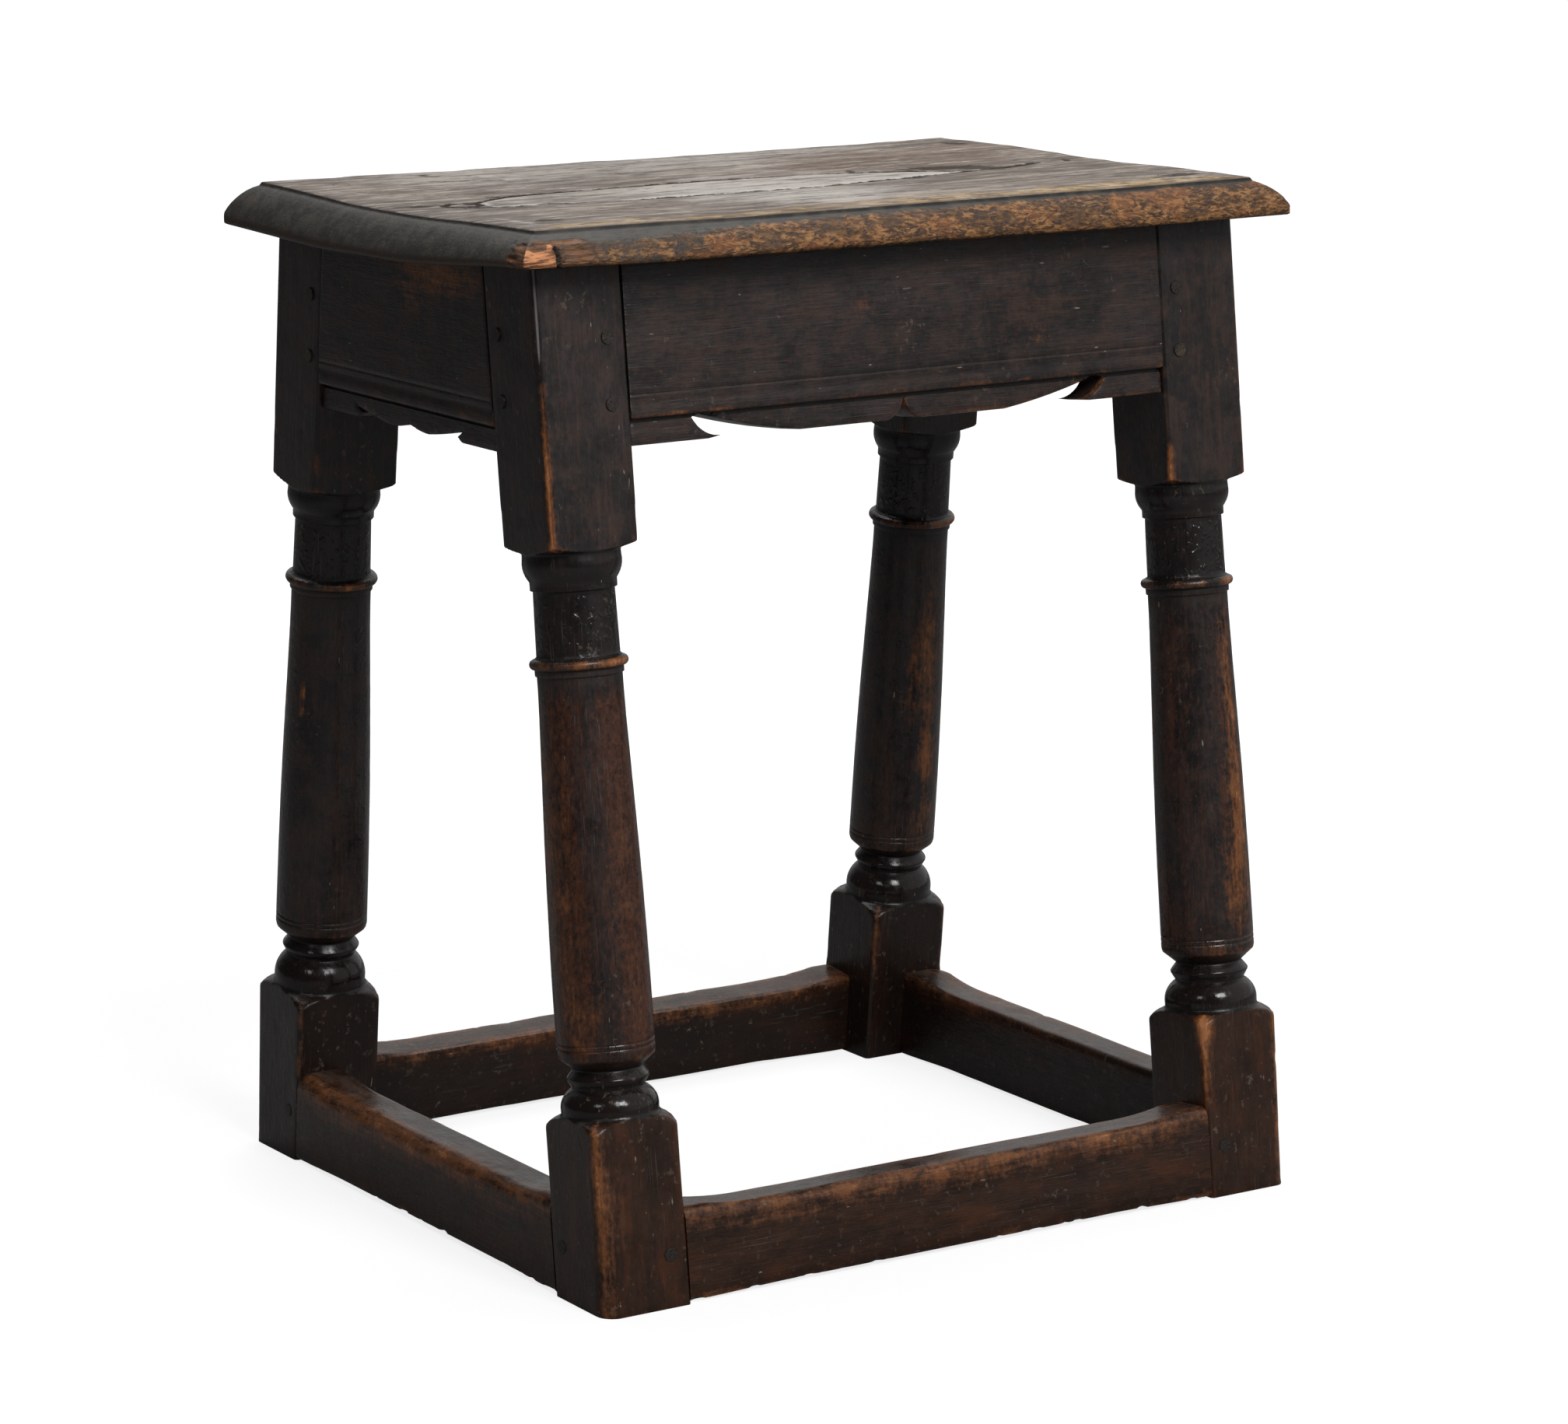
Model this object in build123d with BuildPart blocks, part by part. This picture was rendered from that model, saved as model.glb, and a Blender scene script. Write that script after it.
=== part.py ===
"""A pegged oak joint stool.

Four turned legs, splayed across the stool's width only, are tied by four rails under the
board and four stretchers just above the floor. Every joint is a mortise and tenon, held by
round pegs, and the board is pegged down on the leg tops.

X runs along the stool's length, the front faces -Y, Z is up, and the origin is on the floor
below the middle of the board. All sizes are in millimetres.
"""

from build123d import *
from dataclasses import dataclass
from math import cos, hypot, atan2, sin, tan
import os

os.makedirs("parts", exist_ok=True)

# ---------------------------------------------------------------------------------------
# Driving sizes
# ---------------------------------------------------------------------------------------

# Board
stool_height = 516.5  # floor to the top of the board
board_length = 446.0
board_width = 308.0
board_thickness = 20.0
moulding_width = 15.5  # from the board's edge to the flat of its top
moulding_step = 2.2  # small upright step around the flat
step_slope = 1.2  # how far that step leans outwards
nose_height = 3.5  # upright part of the moulding's nose, above the underside
nose_round = 2.4  # rounding under the nose
thumb_rise = 2.3  # how far the moulding's curve swells above its chord

# Leg positions, at the legs' own axes
end_inset = 43.0  # from the board's ends
side_inset = 48.7  # from the board's front and back edges, at its underside
foot_spread = 55.4  # how far a foot stands out beyond its leg's top, across the stool

# Leg stock and its square blocks
leg_stock = 48.0
leg_arris = 2.6  # rounding along the block's long edges
foot_block_height = 91.4  # along the leg, from the floor
top_block_height = 136.4  # along the leg, down from the board
shoulder_drop = 2.6  # how far the turning lops the blocks' corners
shoulder_inset = 0.5  # the lopping ends this far inside the block's faces
foot_chamfer = 1.2  # around the bottom of the foot

# Turning, from the foot block up; heights are along the leg
bun_base_radius = 23.0
bun_radius = 23.9
bun_height = 15.6
bun_mid_height = 4.6  # height of the bun's widest line
lower_groove_radius = 17.8
lower_groove_height = 0.6
ring_radius = 20.0
ring_height = 8.4
ring_edge = 0.8  # narrow flat around the ring
upper_groove_radius = 17.0
upper_groove_height = 0.6
shaft_chamfer_height = 5.6
shaft_chamfer_radius = 23.4
shaft_lip_height = 1.8
shaft_base_radius = 23.9
score_height = 2.8  # two fine lines cut around the shaft's base
score_spacing = 2.5
score_width = 0.8
score_depth = 0.5
shaft_belly_radius = 22.9
shaft_belly_height = 88.0  # above the shaft's base
shaft_waist_radius = 21.1
shaft_waist_drop = 32.0  # below the astragal
shaft_top_radius = 20.5
astragal_fillet_radius = 21.4
astragal_fillet_height = 3.2
astragal_radius = 23.8
astragal_height = 4.8
astragal_cap_radius = 20.9
astragal_cap_height = 0.8
neck_foot_radius = 20.1
neck_height = 30.7
neck_top_radius = 19.6
collar_radius = 20.9
collar_height = 4.1
ovolo_radius = 23.8
ovolo_height = 13.7
ovolo_lip = 3.4  # upright part of the ovolo, below the block
ovolo_swell = 1.9  # how far the ovolo swells outside its chord

# Joints, shared by rails and stretchers
tenon_setback = 8.0  # from the outer face to the tenon
tenon_thickness = 9.0
tenon_length = 26.0
mortise_end_gap = 0.8  # mortises are a little deeper than the tenons
mortise_clearance = 0.05  # around the tenon
shoulder_gap = 0.2  # open seam between shoulder and leg
peg_inset = 10.0  # from the leg's inner edge to the peg
peg_clearance = 0.02
peg_length = 30.0  # from the leg's outer face

# Rails
rail_thickness = 22.0
rail_tenon_top = 12.0  # down from the board
rail_tenon_bottom = 76.0
rail_peg_radius = 3.4
rail_peg_drops = (34.0, 65.5)  # down from the board
rail_peg_proud = 0.8

# Moulding on the rails' faces; rises are above the rail's lowest line
score_line_rise = 24.7  # line scored above the moulding
score_line_width = 1.0
score_line_depth = 0.8
hollow_top_rise = 22.9  # shallow hollow of the moulding
hollow_bottom_rise = 17.1
hollow_depth = 0.6
moulding_rise = 12.7
bead_round = 1.3  # rounding of the moulding's lower edge
strip_recess = 2.8  # the shaped strip stands back from the moulding
quirk_height = 1.8
quirk_depth = 1.2  # beyond the strip's face


# Shaped lower edge of the rails, each half from the leg to the middle
@dataclass
class Apron:
    """Sizes of a shaped lower edge. Every rise is above the rail's lowest line."""

    rail_depth: float  # down from the board, along the rail's face
    spur_reach: float  # from the rail's middle to the point of the spur
    spur_taper: float  # length over which the spur narrows to its point
    spur_rise: float  # at the point
    throat_mid_back: float  # middle of the hollow behind the point, from the point
    throat_mid_rise: float
    throat_end_back: float  # deepest place behind the point
    throat_end_rise: float
    notch_back: float  # where the notch turns into the lobe, from the point
    notch_rise: float
    lobe_run: float  # length over which the lobe comes down to the lowest line
    lobe_bow: float  # how far the lobe swells below its chord
    cusp_half_width: float
    cusp_rise: float  # pointed middle of the rail
    cusp_bow: float  # how far the cusp's sides swell beyond their chord


long_apron = Apron(
    rail_depth=86.5,
    spur_reach=104.7,
    spur_taper=7.0,
    spur_rise=1.1,
    throat_mid_back=12.2,
    throat_mid_rise=6.0,
    throat_end_back=15.6,
    throat_end_rise=10.8,
    notch_back=11.0,
    notch_rise=12.2,
    lobe_run=55.7,
    lobe_bow=1.2,
    cusp_half_width=10.0,
    cusp_rise=10.5,
    cusp_bow=2.4,
)
end_apron = Apron(
    rail_depth=91.4,
    spur_reach=48.2,
    spur_taper=5.0,
    spur_rise=2.6,
    throat_mid_back=2.0,
    throat_mid_rise=3.8,
    throat_end_back=3.8,
    throat_end_rise=4.7,
    notch_back=4.4,
    notch_rise=5.4,
    lobe_run=33.8,
    lobe_bow=0.4,
    cusp_half_width=17.0,
    cusp_rise=2.8,
    cusp_bow=0.5,
)

# Stretchers
stretcher_clear = 2.0  # above the floor
stretcher_top = 50.0  # above the floor, at the legs
stretcher_thickness = 26.0
stretcher_wear = 5.4  # the top is worn down between the legs
stretcher_wear_run = 42.0
stretcher_outer_round = 5.0
stretcher_inner_round = 2.5
stretcher_tenon_bottom = 9.0  # above the floor
stretcher_tenon_top = 43.0
stretcher_peg_radius = 3.4
stretcher_peg_height = 26.0
stretcher_peg_proud = 0.3

# Pegs that hold the board
board_peg_radius = 4.0
board_peg_length = 48.0
board_peg_proud = 0.0

# ---------------------------------------------------------------------------------------
# Derived places
# ---------------------------------------------------------------------------------------

seat_z = stool_height - board_thickness  # underside of the board, top of the frame
leg_x = board_length / 2 - end_inset
seat_y = board_width / 2 - side_inset
foot_y = seat_y + foot_spread
half_stock = leg_stock / 2
splay = atan2(foot_spread, seat_z)
leg_length = hypot(foot_spread, seat_z)

face_x = leg_x + half_stock  # outer faces of the ends
inner_x = leg_x - half_stock
face_y = seat_y + half_stock / cos(splay)  # outer faces of front and back, at the board
inner_y = seat_y - half_stock / cos(splay)

overrun = leg_stock  # how far stock is left long before it is cut to the floor or the board
turning_reach = hypot(half_stock, half_stock)  # corner of the square stock
shoulder_radius = half_stock - shoulder_inset

SIDES = {"front": -1, "back": 1}
ENDS = {"left": -1, "right": 1}


def lean(z):
    """How far a face that follows the splay stands out at height z, from where it meets the board."""
    return (seat_z - z) * tan(splay)


def along_leg(depth):
    """Distance from the foot, along the leg's axis, of a depth below the board on the outer face."""
    return leg_length - half_stock * tan(splay) - depth


def face_depth(z):
    """Depth below the board, along a splayed face, of height z."""
    return (seat_z - z) / cos(splay)


# ---------------------------------------------------------------------------------------
# Planes
# ---------------------------------------------------------------------------------------


def leg_plane(end, side):
    """On the floor, at the leg's axis, with Z along the leg."""
    axis = (0, -side * sin(splay), cos(splay))
    return Plane(origin=(end * leg_x, side * foot_y, 0), x_dir=(1, 0, 0), z_dir=axis)


def turning_plane(end, side):
    """Through the leg's axis, with X outwards and Y along the leg."""
    normal = (0, -cos(splay), -side * sin(splay))
    return Plane(origin=(end * leg_x, side * foot_y, 0), x_dir=(1, 0, 0), z_dir=normal)


def long_plane(side):
    """On the splayed outer face of front or back, at the board, with Y up the face."""
    normal = (0, side * cos(splay), sin(splay))
    return Plane(origin=(0, side * face_y, seat_z), x_dir=(-side, 0, 0), z_dir=normal)


def end_plane(end):
    """On the upright outer face of an end, at the board, with Y up."""
    return Plane(origin=(end * face_x, 0, seat_z), x_dir=(0, end, 0), z_dir=(end, 0, 0))


def long_peg_plane(end, side, depth):
    """On the front or back face of a leg, at a peg, with Z into the leg."""
    face = long_plane(side)
    across = -side * end * (inner_x + peg_inset)
    centre = face.from_local_coords((across, -depth, 0))
    return Plane(origin=centre, x_dir=(1, 0, 0), z_dir=-face.z_dir)


def end_peg_plane(end, side, z):
    """On the end face of a leg, at a peg, with Z into the leg."""
    y = side * (inner_y + lean(z) + peg_inset / cos(splay))
    return Plane(origin=(end * face_x, y, z), x_dir=(0, 1, 0), z_dir=(-end, 0, 0))


def board_peg_plane(end, side):
    """On the board's top above a leg, with Z down into the leg."""
    centre = (end * leg_x, side * seat_y, stool_height)
    return Plane(origin=centre, x_dir=(1, 0, 0), z_dir=(0, 0, -1))


def rail_peg_planes(end, side):
    """Peg planes of the rail joints of one leg: those of the long rail, then of the end rail."""
    long_pegs = [long_peg_plane(end, side, drop) for drop in rail_peg_drops]
    end_pegs = [end_peg_plane(end, side, seat_z - drop) for drop in rail_peg_drops]
    return long_pegs, end_pegs


def stretcher_peg_planes(end, side):
    """Peg planes of the stretcher joints of one leg: the long stretcher's, then the end one's."""
    long_peg = long_peg_plane(end, side, face_depth(stretcher_peg_height))
    return [long_peg], [end_peg_plane(end, side, stretcher_peg_height)]


# ---------------------------------------------------------------------------------------
# Shapes shared by pieces that fit each other
# ---------------------------------------------------------------------------------------


def cut_long_mortise(end, side, top, bottom):
    """Cuts the mortise of a long rail or stretcher; top and bottom are depths below the board."""
    depth = tenon_length + mortise_end_gap
    width = tenon_thickness + 2 * mortise_clearance
    centre_x = -end * (half_stock - depth / 2)
    centre_y = side * (half_stock - tenon_setback - tenon_thickness / 2)
    floor_plane = leg_plane(end, side).offset(along_leg(bottom) - mortise_clearance)
    with BuildSketch(floor_plane) as mortise:
        with Locations((centre_x, centre_y)):
            Rectangle(depth, width)
    height = bottom - top + 2 * mortise_clearance
    extrude(mortise.sketch, amount=height, mode=Mode.SUBTRACT)


def end_tenon_outline(side, top, bottom, back, length, margin):
    """Side view of an end piece's tenon between two heights, as (Y, Z) points.

    It reaches back and forward from the leg's inner face by the two lengths.
    """
    high, low = top + margin, bottom - margin
    root = inner_y - back / cos(splay)
    nose = inner_y + length / cos(splay)
    return [
        (side * (root + lean(low)), low),
        (side * (nose + lean(low)), low),
        (side * (nose + lean(high)), high),
        (side * (root + lean(high)), high),
    ]


def cut_end_mortise(end, side, top, bottom):
    """Cuts the mortise of an end rail or stretcher; top and bottom are heights above the floor."""
    depth = tenon_length + mortise_end_gap
    outer = face_x - tenon_setback + mortise_clearance
    width = tenon_thickness + 2 * mortise_clearance
    with BuildSketch(Plane.YZ.offset(end * outer)) as mortise:
        with BuildLine():
            Polyline(
                *end_tenon_outline(side, top, bottom, 0, depth, mortise_clearance), close=True
            )
        make_face()
    extrude(mortise.sketch, amount=-end * width, mode=Mode.SUBTRACT)


def add_long_tenons(face, top, bottom):
    """Tenons of a long rail or stretcher, rooted in its ends; the limits are depths below the board."""
    root = inner_x - tenon_thickness
    nose = inner_x + tenon_length
    centres = [(end * (root + nose) / 2, -(top + bottom) / 2) for end in ENDS.values()]
    with BuildSketch(face.offset(-tenon_setback)) as tenons:
        with Locations(*centres):
            Rectangle(nose - root, bottom - top)
    extrude(tenons.sketch, amount=-tenon_thickness)


def add_end_tenons(end, top, bottom):
    """Tenons of an end rail or stretcher, rooted in its ends; the limits are heights."""
    for side in SIDES.values():
        with BuildSketch(Plane.YZ.offset(end * (face_x - tenon_setback))) as tenon:
            with BuildLine():
                Polyline(
                    *end_tenon_outline(side, top, bottom, tenon_thickness, tenon_length, 0),
                    close=True,
                )
            make_face()
        extrude(tenon.sketch, amount=-end * tenon_thickness)


def bore_pegs(planes, radius, length=peg_length):
    """Bores peg holes a little deeper than the pegs."""
    for plane in planes:
        with BuildSketch(plane.offset(-overrun)) as bore:
            Circle(radius + peg_clearance)
        extrude(bore.sketch, amount=overrun + length + mortise_end_gap, mode=Mode.SUBTRACT)


def make_pegs(planes, radius, length, proud):
    """Round pegs, one on each plane, each standing proud of the face that it was driven through."""
    with BuildPart() as pegs:
        for plane in planes:
            with BuildSketch(plane.offset(-proud)):
                Circle(radius)
            extrude(amount=length + proud)
    return pegs.part


# ---------------------------------------------------------------------------------------
# Board
# ---------------------------------------------------------------------------------------


def board_edge(half_width):
    """Half of the board's section, from its middle to the moulded edge, in (across, height)."""
    flat = half_width - moulding_width
    thumb_start = (flat + step_slope, stool_height - moulding_step)
    thumb_end = (half_width, seat_z + nose_height)
    run = thumb_end[0] - thumb_start[0]
    drop = thumb_start[1] - thumb_end[1]
    chord = hypot(run, drop)
    thumb_middle = (
        (thumb_start[0] + thumb_end[0]) / 2 + thumb_rise * drop / chord,
        (thumb_start[1] + thumb_end[1]) / 2 + thumb_rise * run / chord,
    )
    under = half_width - nose_round
    Polyline((0, seat_z), (under, seat_z))
    RadiusArc((under, seat_z), (half_width, seat_z + nose_round), -nose_round)
    Line((half_width, seat_z + nose_round), thumb_end)
    ThreePointArc(thumb_end, thumb_middle, thumb_start)
    Polyline(thumb_start, (flat, stool_height), (0, stool_height))
    mirror(about=Plane.YZ)


with BuildPart() as top_board:
    with BuildSketch(Plane.YZ):
        with BuildLine():
            board_edge(board_width / 2)
        make_face()
    extrude(amount=board_length / 2, both=True)
    with BuildSketch(Plane.XZ):
        with BuildLine():
            board_edge(board_length / 2)
        make_face()
    extrude(amount=board_width / 2, both=True, mode=Mode.INTERSECT)
    for end in ENDS.values():
        for side in SIDES.values():
            bore_pegs([board_peg_plane(end, side)], board_peg_radius, board_peg_length)

top_board.part.label = "top_board"
export_step(top_board.part, "parts/top_board.step")

# ---------------------------------------------------------------------------------------
# Legs
# ---------------------------------------------------------------------------------------


def turning_outline():
    """The turned envelope of a leg, as (radius, distance along the leg)."""
    bun_foot = foot_block_height
    lower_groove = bun_foot + bun_height
    ring = lower_groove + lower_groove_height
    upper_groove = ring + ring_height
    chamfer = upper_groove + upper_groove_height
    lip = chamfer + shaft_chamfer_height
    shaft_base = lip + shaft_lip_height
    block = leg_length - top_block_height
    ovolo = block - ovolo_height
    collar = ovolo - collar_height
    neck = collar - neck_height
    astragal_cap = neck - astragal_cap_height
    astragal = astragal_cap - astragal_height
    shaft_top = astragal - astragal_fillet_height

    reach_low = (turning_reach, bun_foot - shoulder_drop)
    reach_high = (turning_reach, block + shoulder_drop)
    ring_middle = ring + ring_height / 2
    score = shaft_base + score_height
    second_score = score + score_spacing

    # foot block, its lopped corners and the bun
    Polyline((0, -overrun), (turning_reach, -overrun), reach_low, (shoulder_radius, bun_foot))
    Line((shoulder_radius, bun_foot), (bun_base_radius, bun_foot))
    ThreePointArc(
        (bun_base_radius, bun_foot),
        (bun_radius, bun_foot + bun_mid_height),
        (lower_groove_radius, lower_groove),
    )
    # ring between two grooves, then the chamfer and lip of the shaft
    Polyline(
        (lower_groove_radius, lower_groove),
        (lower_groove_radius, ring),
        (ring_radius, ring_middle - ring_edge / 2),
        (ring_radius, ring_middle + ring_edge / 2),
        (upper_groove_radius, upper_groove),
        (upper_groove_radius, chamfer),
        (shaft_chamfer_radius, lip),
        (shaft_base_radius, shaft_base),
        (shaft_base_radius, score),
    )
    # two fine scored lines
    Polyline(
        (shaft_base_radius, score),
        (shaft_base_radius - score_depth, score + score_width / 2),
        (shaft_base_radius, score + score_width),
        (shaft_base_radius, second_score),
        (shaft_base_radius - score_depth, second_score + score_width / 2),
        (shaft_base_radius, second_score + score_width),
    )
    # shaft: full at the base, drawn in below the astragal
    Spline(
        (shaft_base_radius, second_score + score_width),
        (shaft_belly_radius, shaft_base + shaft_belly_height),
        (shaft_waist_radius, shaft_top - shaft_waist_drop),
        (shaft_top_radius, shaft_top),
        tangents=((0, 1), (0, 1)),
    )
    # astragal between two fillets
    Polyline(
        (shaft_top_radius, shaft_top),
        (astragal_fillet_radius, shaft_top),
        (astragal_fillet_radius, astragal),
    )
    ThreePointArc(
        (astragal_fillet_radius, astragal),
        (astragal_radius, astragal + astragal_height / 2),
        (astragal_cap_radius, astragal_cap),
    )
    # neck, collar and ovolo under the top block
    Polyline(
        (astragal_cap_radius, astragal_cap),
        (astragal_cap_radius, neck),
        (neck_foot_radius, neck),
        (neck_top_radius, collar),
        (collar_radius, collar),
        (collar_radius, ovolo),
    )
    ovolo_end = (ovolo_radius, block - ovolo_lip)
    ovolo_middle = (
        (collar_radius + ovolo_end[0]) / 2 + ovolo_swell / 2,
        (ovolo + ovolo_end[1]) / 2 - ovolo_swell / 2,
    )
    ThreePointArc((collar_radius, ovolo), ovolo_middle, ovolo_end)
    Polyline(
        ovolo_end,
        (shoulder_radius, block),
        reach_high,
        (turning_reach, leg_length + overrun),
        (0, leg_length + overrun),
        (0, -overrun),
    )


def make_leg(end, side):
    """A leg, turned from square stock, cut to the floor and the board, mortised and bored."""
    axis_plane = leg_plane(end, side)
    with BuildPart() as leg:
        with BuildSketch(axis_plane.offset(-overrun / 2)):
            RectangleRounded(leg_stock, leg_stock, leg_arris)
        extrude(amount=leg_length + overrun)
        with BuildSketch(turning_plane(end, side)):
            with BuildLine():
                turning_outline()
            make_face()
        revolve(axis=Axis(axis_plane.origin, axis_plane.z_dir), mode=Mode.INTERSECT)
        split(bisect_by=Plane.XY, keep=Keep.TOP)
        split(bisect_by=Plane.XY.offset(seat_z), keep=Keep.BOTTOM)
        chamfer(leg.faces().sort_by(Axis.Z)[0].edges(), foot_chamfer)

        cut_long_mortise(end, side, rail_tenon_top, rail_tenon_bottom)
        tenon_depths = face_depth(stretcher_tenon_top), face_depth(stretcher_tenon_bottom)
        cut_long_mortise(end, side, *tenon_depths)
        cut_end_mortise(end, side, seat_z - rail_tenon_top, seat_z - rail_tenon_bottom)
        cut_end_mortise(end, side, stretcher_tenon_top, stretcher_tenon_bottom)

        for planes in rail_peg_planes(end, side):
            bore_pegs(planes, rail_peg_radius)
        for planes in stretcher_peg_planes(end, side):
            bore_pegs(planes, stretcher_peg_radius)
        bore_pegs([board_peg_plane(end, side)], board_peg_radius, board_peg_length)
    return leg.part


for side_name, side in SIDES.items():
    for end_name, end in ENDS.items():
        leg = make_leg(end, side)
        leg.label = f"leg_{side_name}_{end_name}"
        export_step(leg, f"parts/{leg.label}.step")

# ---------------------------------------------------------------------------------------
# Rails
# ---------------------------------------------------------------------------------------


def swollen_middle(start, end, bow):
    """Middle of an arc that swells below and beyond its chord by the bow."""
    run, drop = end[0] - start[0], end[1] - start[1]
    chord = hypot(run, drop)
    middle_x = (start[0] + end[0]) / 2 + bow * drop / chord
    return (middle_x, (start[1] + end[1]) / 2 - bow * run / chord)


def shaped_edge(apron, shoulder):
    """The rail's shaped lower edge, from the shoulder at the left to the middle of the rail."""
    low = -apron.rail_depth
    tip = -apron.spur_reach
    taper = (tip - apron.spur_taper, low)
    point = (tip, low + apron.spur_rise)
    throat_middle = (tip - apron.throat_mid_back, low + apron.throat_mid_rise)
    throat_end = (tip - apron.throat_end_back, low + apron.throat_end_rise)
    notch = (tip - apron.notch_back, low + apron.notch_rise)
    lobe_end = (notch[0] + apron.lobe_run, low)
    cusp_start = (-apron.cusp_half_width, low)
    cusp = (0, low + apron.cusp_rise)
    Polyline(shoulder, taper, point)
    ThreePointArc(point, throat_middle, throat_end)
    Line(throat_end, notch)
    ThreePointArc(notch, swollen_middle(notch, lobe_end, apron.lobe_bow), lobe_end)
    Line(lobe_end, cusp_start)
    ThreePointArc(cusp_start, swollen_middle(cusp_start, cusp, apron.cusp_bow), cusp)


def rail_outline(apron, top_shoulder, lean_out):
    """Face view of a rail between its shoulders; lean_out is how far they stand out lower down."""
    above = rail_thickness
    upper = (-top_shoulder + above * lean_out, above)
    lower = (-top_shoulder - apron.rail_depth * lean_out, -apron.rail_depth)
    Polyline((0, above), upper, lower)
    shaped_edge(apron, lower)
    mirror(about=Plane.YZ)


def moulding_section(rail_depth):
    """What the moulding planes take off the rail's face, as (out of the face, height)."""
    strip = -strip_recess
    bottom = -rail_depth - overrun
    score_line = -rail_depth + score_line_rise
    hollow_top = -rail_depth + hollow_top_rise
    hollow_bottom = -rail_depth + hollow_bottom_rise
    edge = -rail_depth + moulding_rise
    with BuildLine() as score:
        Polyline(
            (0, score_line),
            (-score_line_depth, score_line - score_line_width / 2),
            (0, score_line - score_line_width),
            close=True,
        )
    make_face(score.edges())
    with BuildLine() as hollow:
        hollow_middle = (-hollow_depth, (hollow_top + hollow_bottom) / 2)
        ThreePointArc((0, hollow_top), hollow_middle, (0, hollow_bottom))
        Line((0, hollow_bottom), (0, hollow_top))
    make_face(hollow.edges())
    with BuildLine() as rebate:
        RadiusArc((0, edge + bead_round), (-bead_round, edge), bead_round)
        Polyline(
            (-bead_round, edge),
            (strip - quirk_depth, edge),
            (strip - quirk_depth, edge - quirk_height),
            (strip, edge - quirk_height),
            (strip, bottom),
            (overrun, bottom),
            (overrun, edge + bead_round),
            (0, edge + bead_round),
        )
    make_face(rebate.edges())


def mould_face(face, rail_depth):
    """Runs the moulding along the whole length of a rail that lies on this face plane."""
    reach = board_length
    start = face.from_local_coords((-reach / 2, 0, 0))
    section = Plane(origin=start, x_dir=face.z_dir, z_dir=-face.x_dir)
    with BuildSketch(section) as cutters:
        moulding_section(rail_depth)
    extrude(cutters.sketch, amount=-reach, mode=Mode.SUBTRACT)


def make_long_rail(side):
    """Front or back rail, in the splayed plane of the legs' outer faces."""
    face = long_plane(side)
    with BuildPart() as rail:
        with BuildSketch(face):
            with BuildLine():
                rail_outline(long_apron, inner_x - shoulder_gap, 0)
            make_face()
        extrude(amount=-rail_thickness)
        mould_face(face, long_apron.rail_depth)
        split(bisect_by=Plane.XY.offset(seat_z), keep=Keep.BOTTOM)
        add_long_tenons(face, rail_tenon_top, rail_tenon_bottom)
        for end in ENDS.values():
            bore_pegs(rail_peg_planes(end, side)[0], rail_peg_radius)
    return rail.part


def make_end_rail(end):
    """Left or right rail, upright, with shoulders that follow the splay."""
    face = end_plane(end)
    shoulder = inner_y - shoulder_gap / cos(splay)
    with BuildPart() as rail:
        with BuildSketch(face):
            with BuildLine():
                rail_outline(end_apron, shoulder, tan(splay))
            make_face()
        extrude(amount=-rail_thickness)
        mould_face(face, end_apron.rail_depth)
        split(bisect_by=Plane.XY.offset(seat_z), keep=Keep.BOTTOM)
        add_end_tenons(end, seat_z - rail_tenon_top, seat_z - rail_tenon_bottom)
        for side in SIDES.values():
            bore_pegs(rail_peg_planes(end, side)[1], rail_peg_radius)
    return rail.part


for side_name, side in SIDES.items():
    rail = make_long_rail(side)
    rail.label = f"rail_{side_name}"
    export_step(rail, f"parts/{rail.label}.step")

for end_name, end in ENDS.items():
    rail = make_end_rail(end)
    rail.label = f"rail_{end_name}"
    export_step(rail, f"parts/{rail.label}.step")

# ---------------------------------------------------------------------------------------
# Stretchers
# ---------------------------------------------------------------------------------------


def stretcher_outline(low, high, low_shoulder, high_shoulder):
    """Face view of a stretcher between its shoulders, with its top worn down between the legs."""
    worn = high - stretcher_wear
    worn_end = -high_shoulder + stretcher_wear_run
    Line((0, low), (-low_shoulder, low))
    Line((-low_shoulder, low), (-high_shoulder, high))
    TangentArc((worn_end, worn), (-high_shoulder, high), tangent=(-1, 0))
    Line((worn_end, worn), (0, worn))
    mirror(about=Plane.YZ)


def round_top(part, face):
    """Rounds the two upper long edges of a stretcher, the outer one more."""
    thickness_axis = Axis(face.origin, face.z_dir)
    for wanted, radius in ((-1, stretcher_outer_round), (0, stretcher_inner_round)):
        flank = part.faces().filter_by(thickness_axis).sort_by(thickness_axis)[wanted]
        level = (stretcher_top + stretcher_clear) / 2
        edges = flank.edges().filter_by(lambda e: e.center().Z > level)
        long_edges = edges.filter_by(lambda e: abs(e.tangent_at(0.5).Z) < 0.5)
        fillet(long_edges, radius)


def make_long_stretcher(side):
    """Front or back stretcher, in the splayed plane of the legs' outer faces."""
    face = long_plane(side)
    top, bottom = face_depth(stretcher_top), face_depth(stretcher_clear - stretcher_thickness)
    shoulder = inner_x - shoulder_gap
    with BuildPart() as stretcher:
        with BuildSketch(face):
            with BuildLine():
                stretcher_outline(-bottom, -top, shoulder, shoulder)
            make_face()
        extrude(amount=-stretcher_thickness)
        round_top(stretcher, face)
        split(bisect_by=Plane.XY.offset(stretcher_clear), keep=Keep.TOP)

        add_long_tenons(face, face_depth(stretcher_tenon_top), face_depth(stretcher_tenon_bottom))
        for end in ENDS.values():
            bore_pegs(stretcher_peg_planes(end, side)[0], stretcher_peg_radius)
    return stretcher.part


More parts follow.
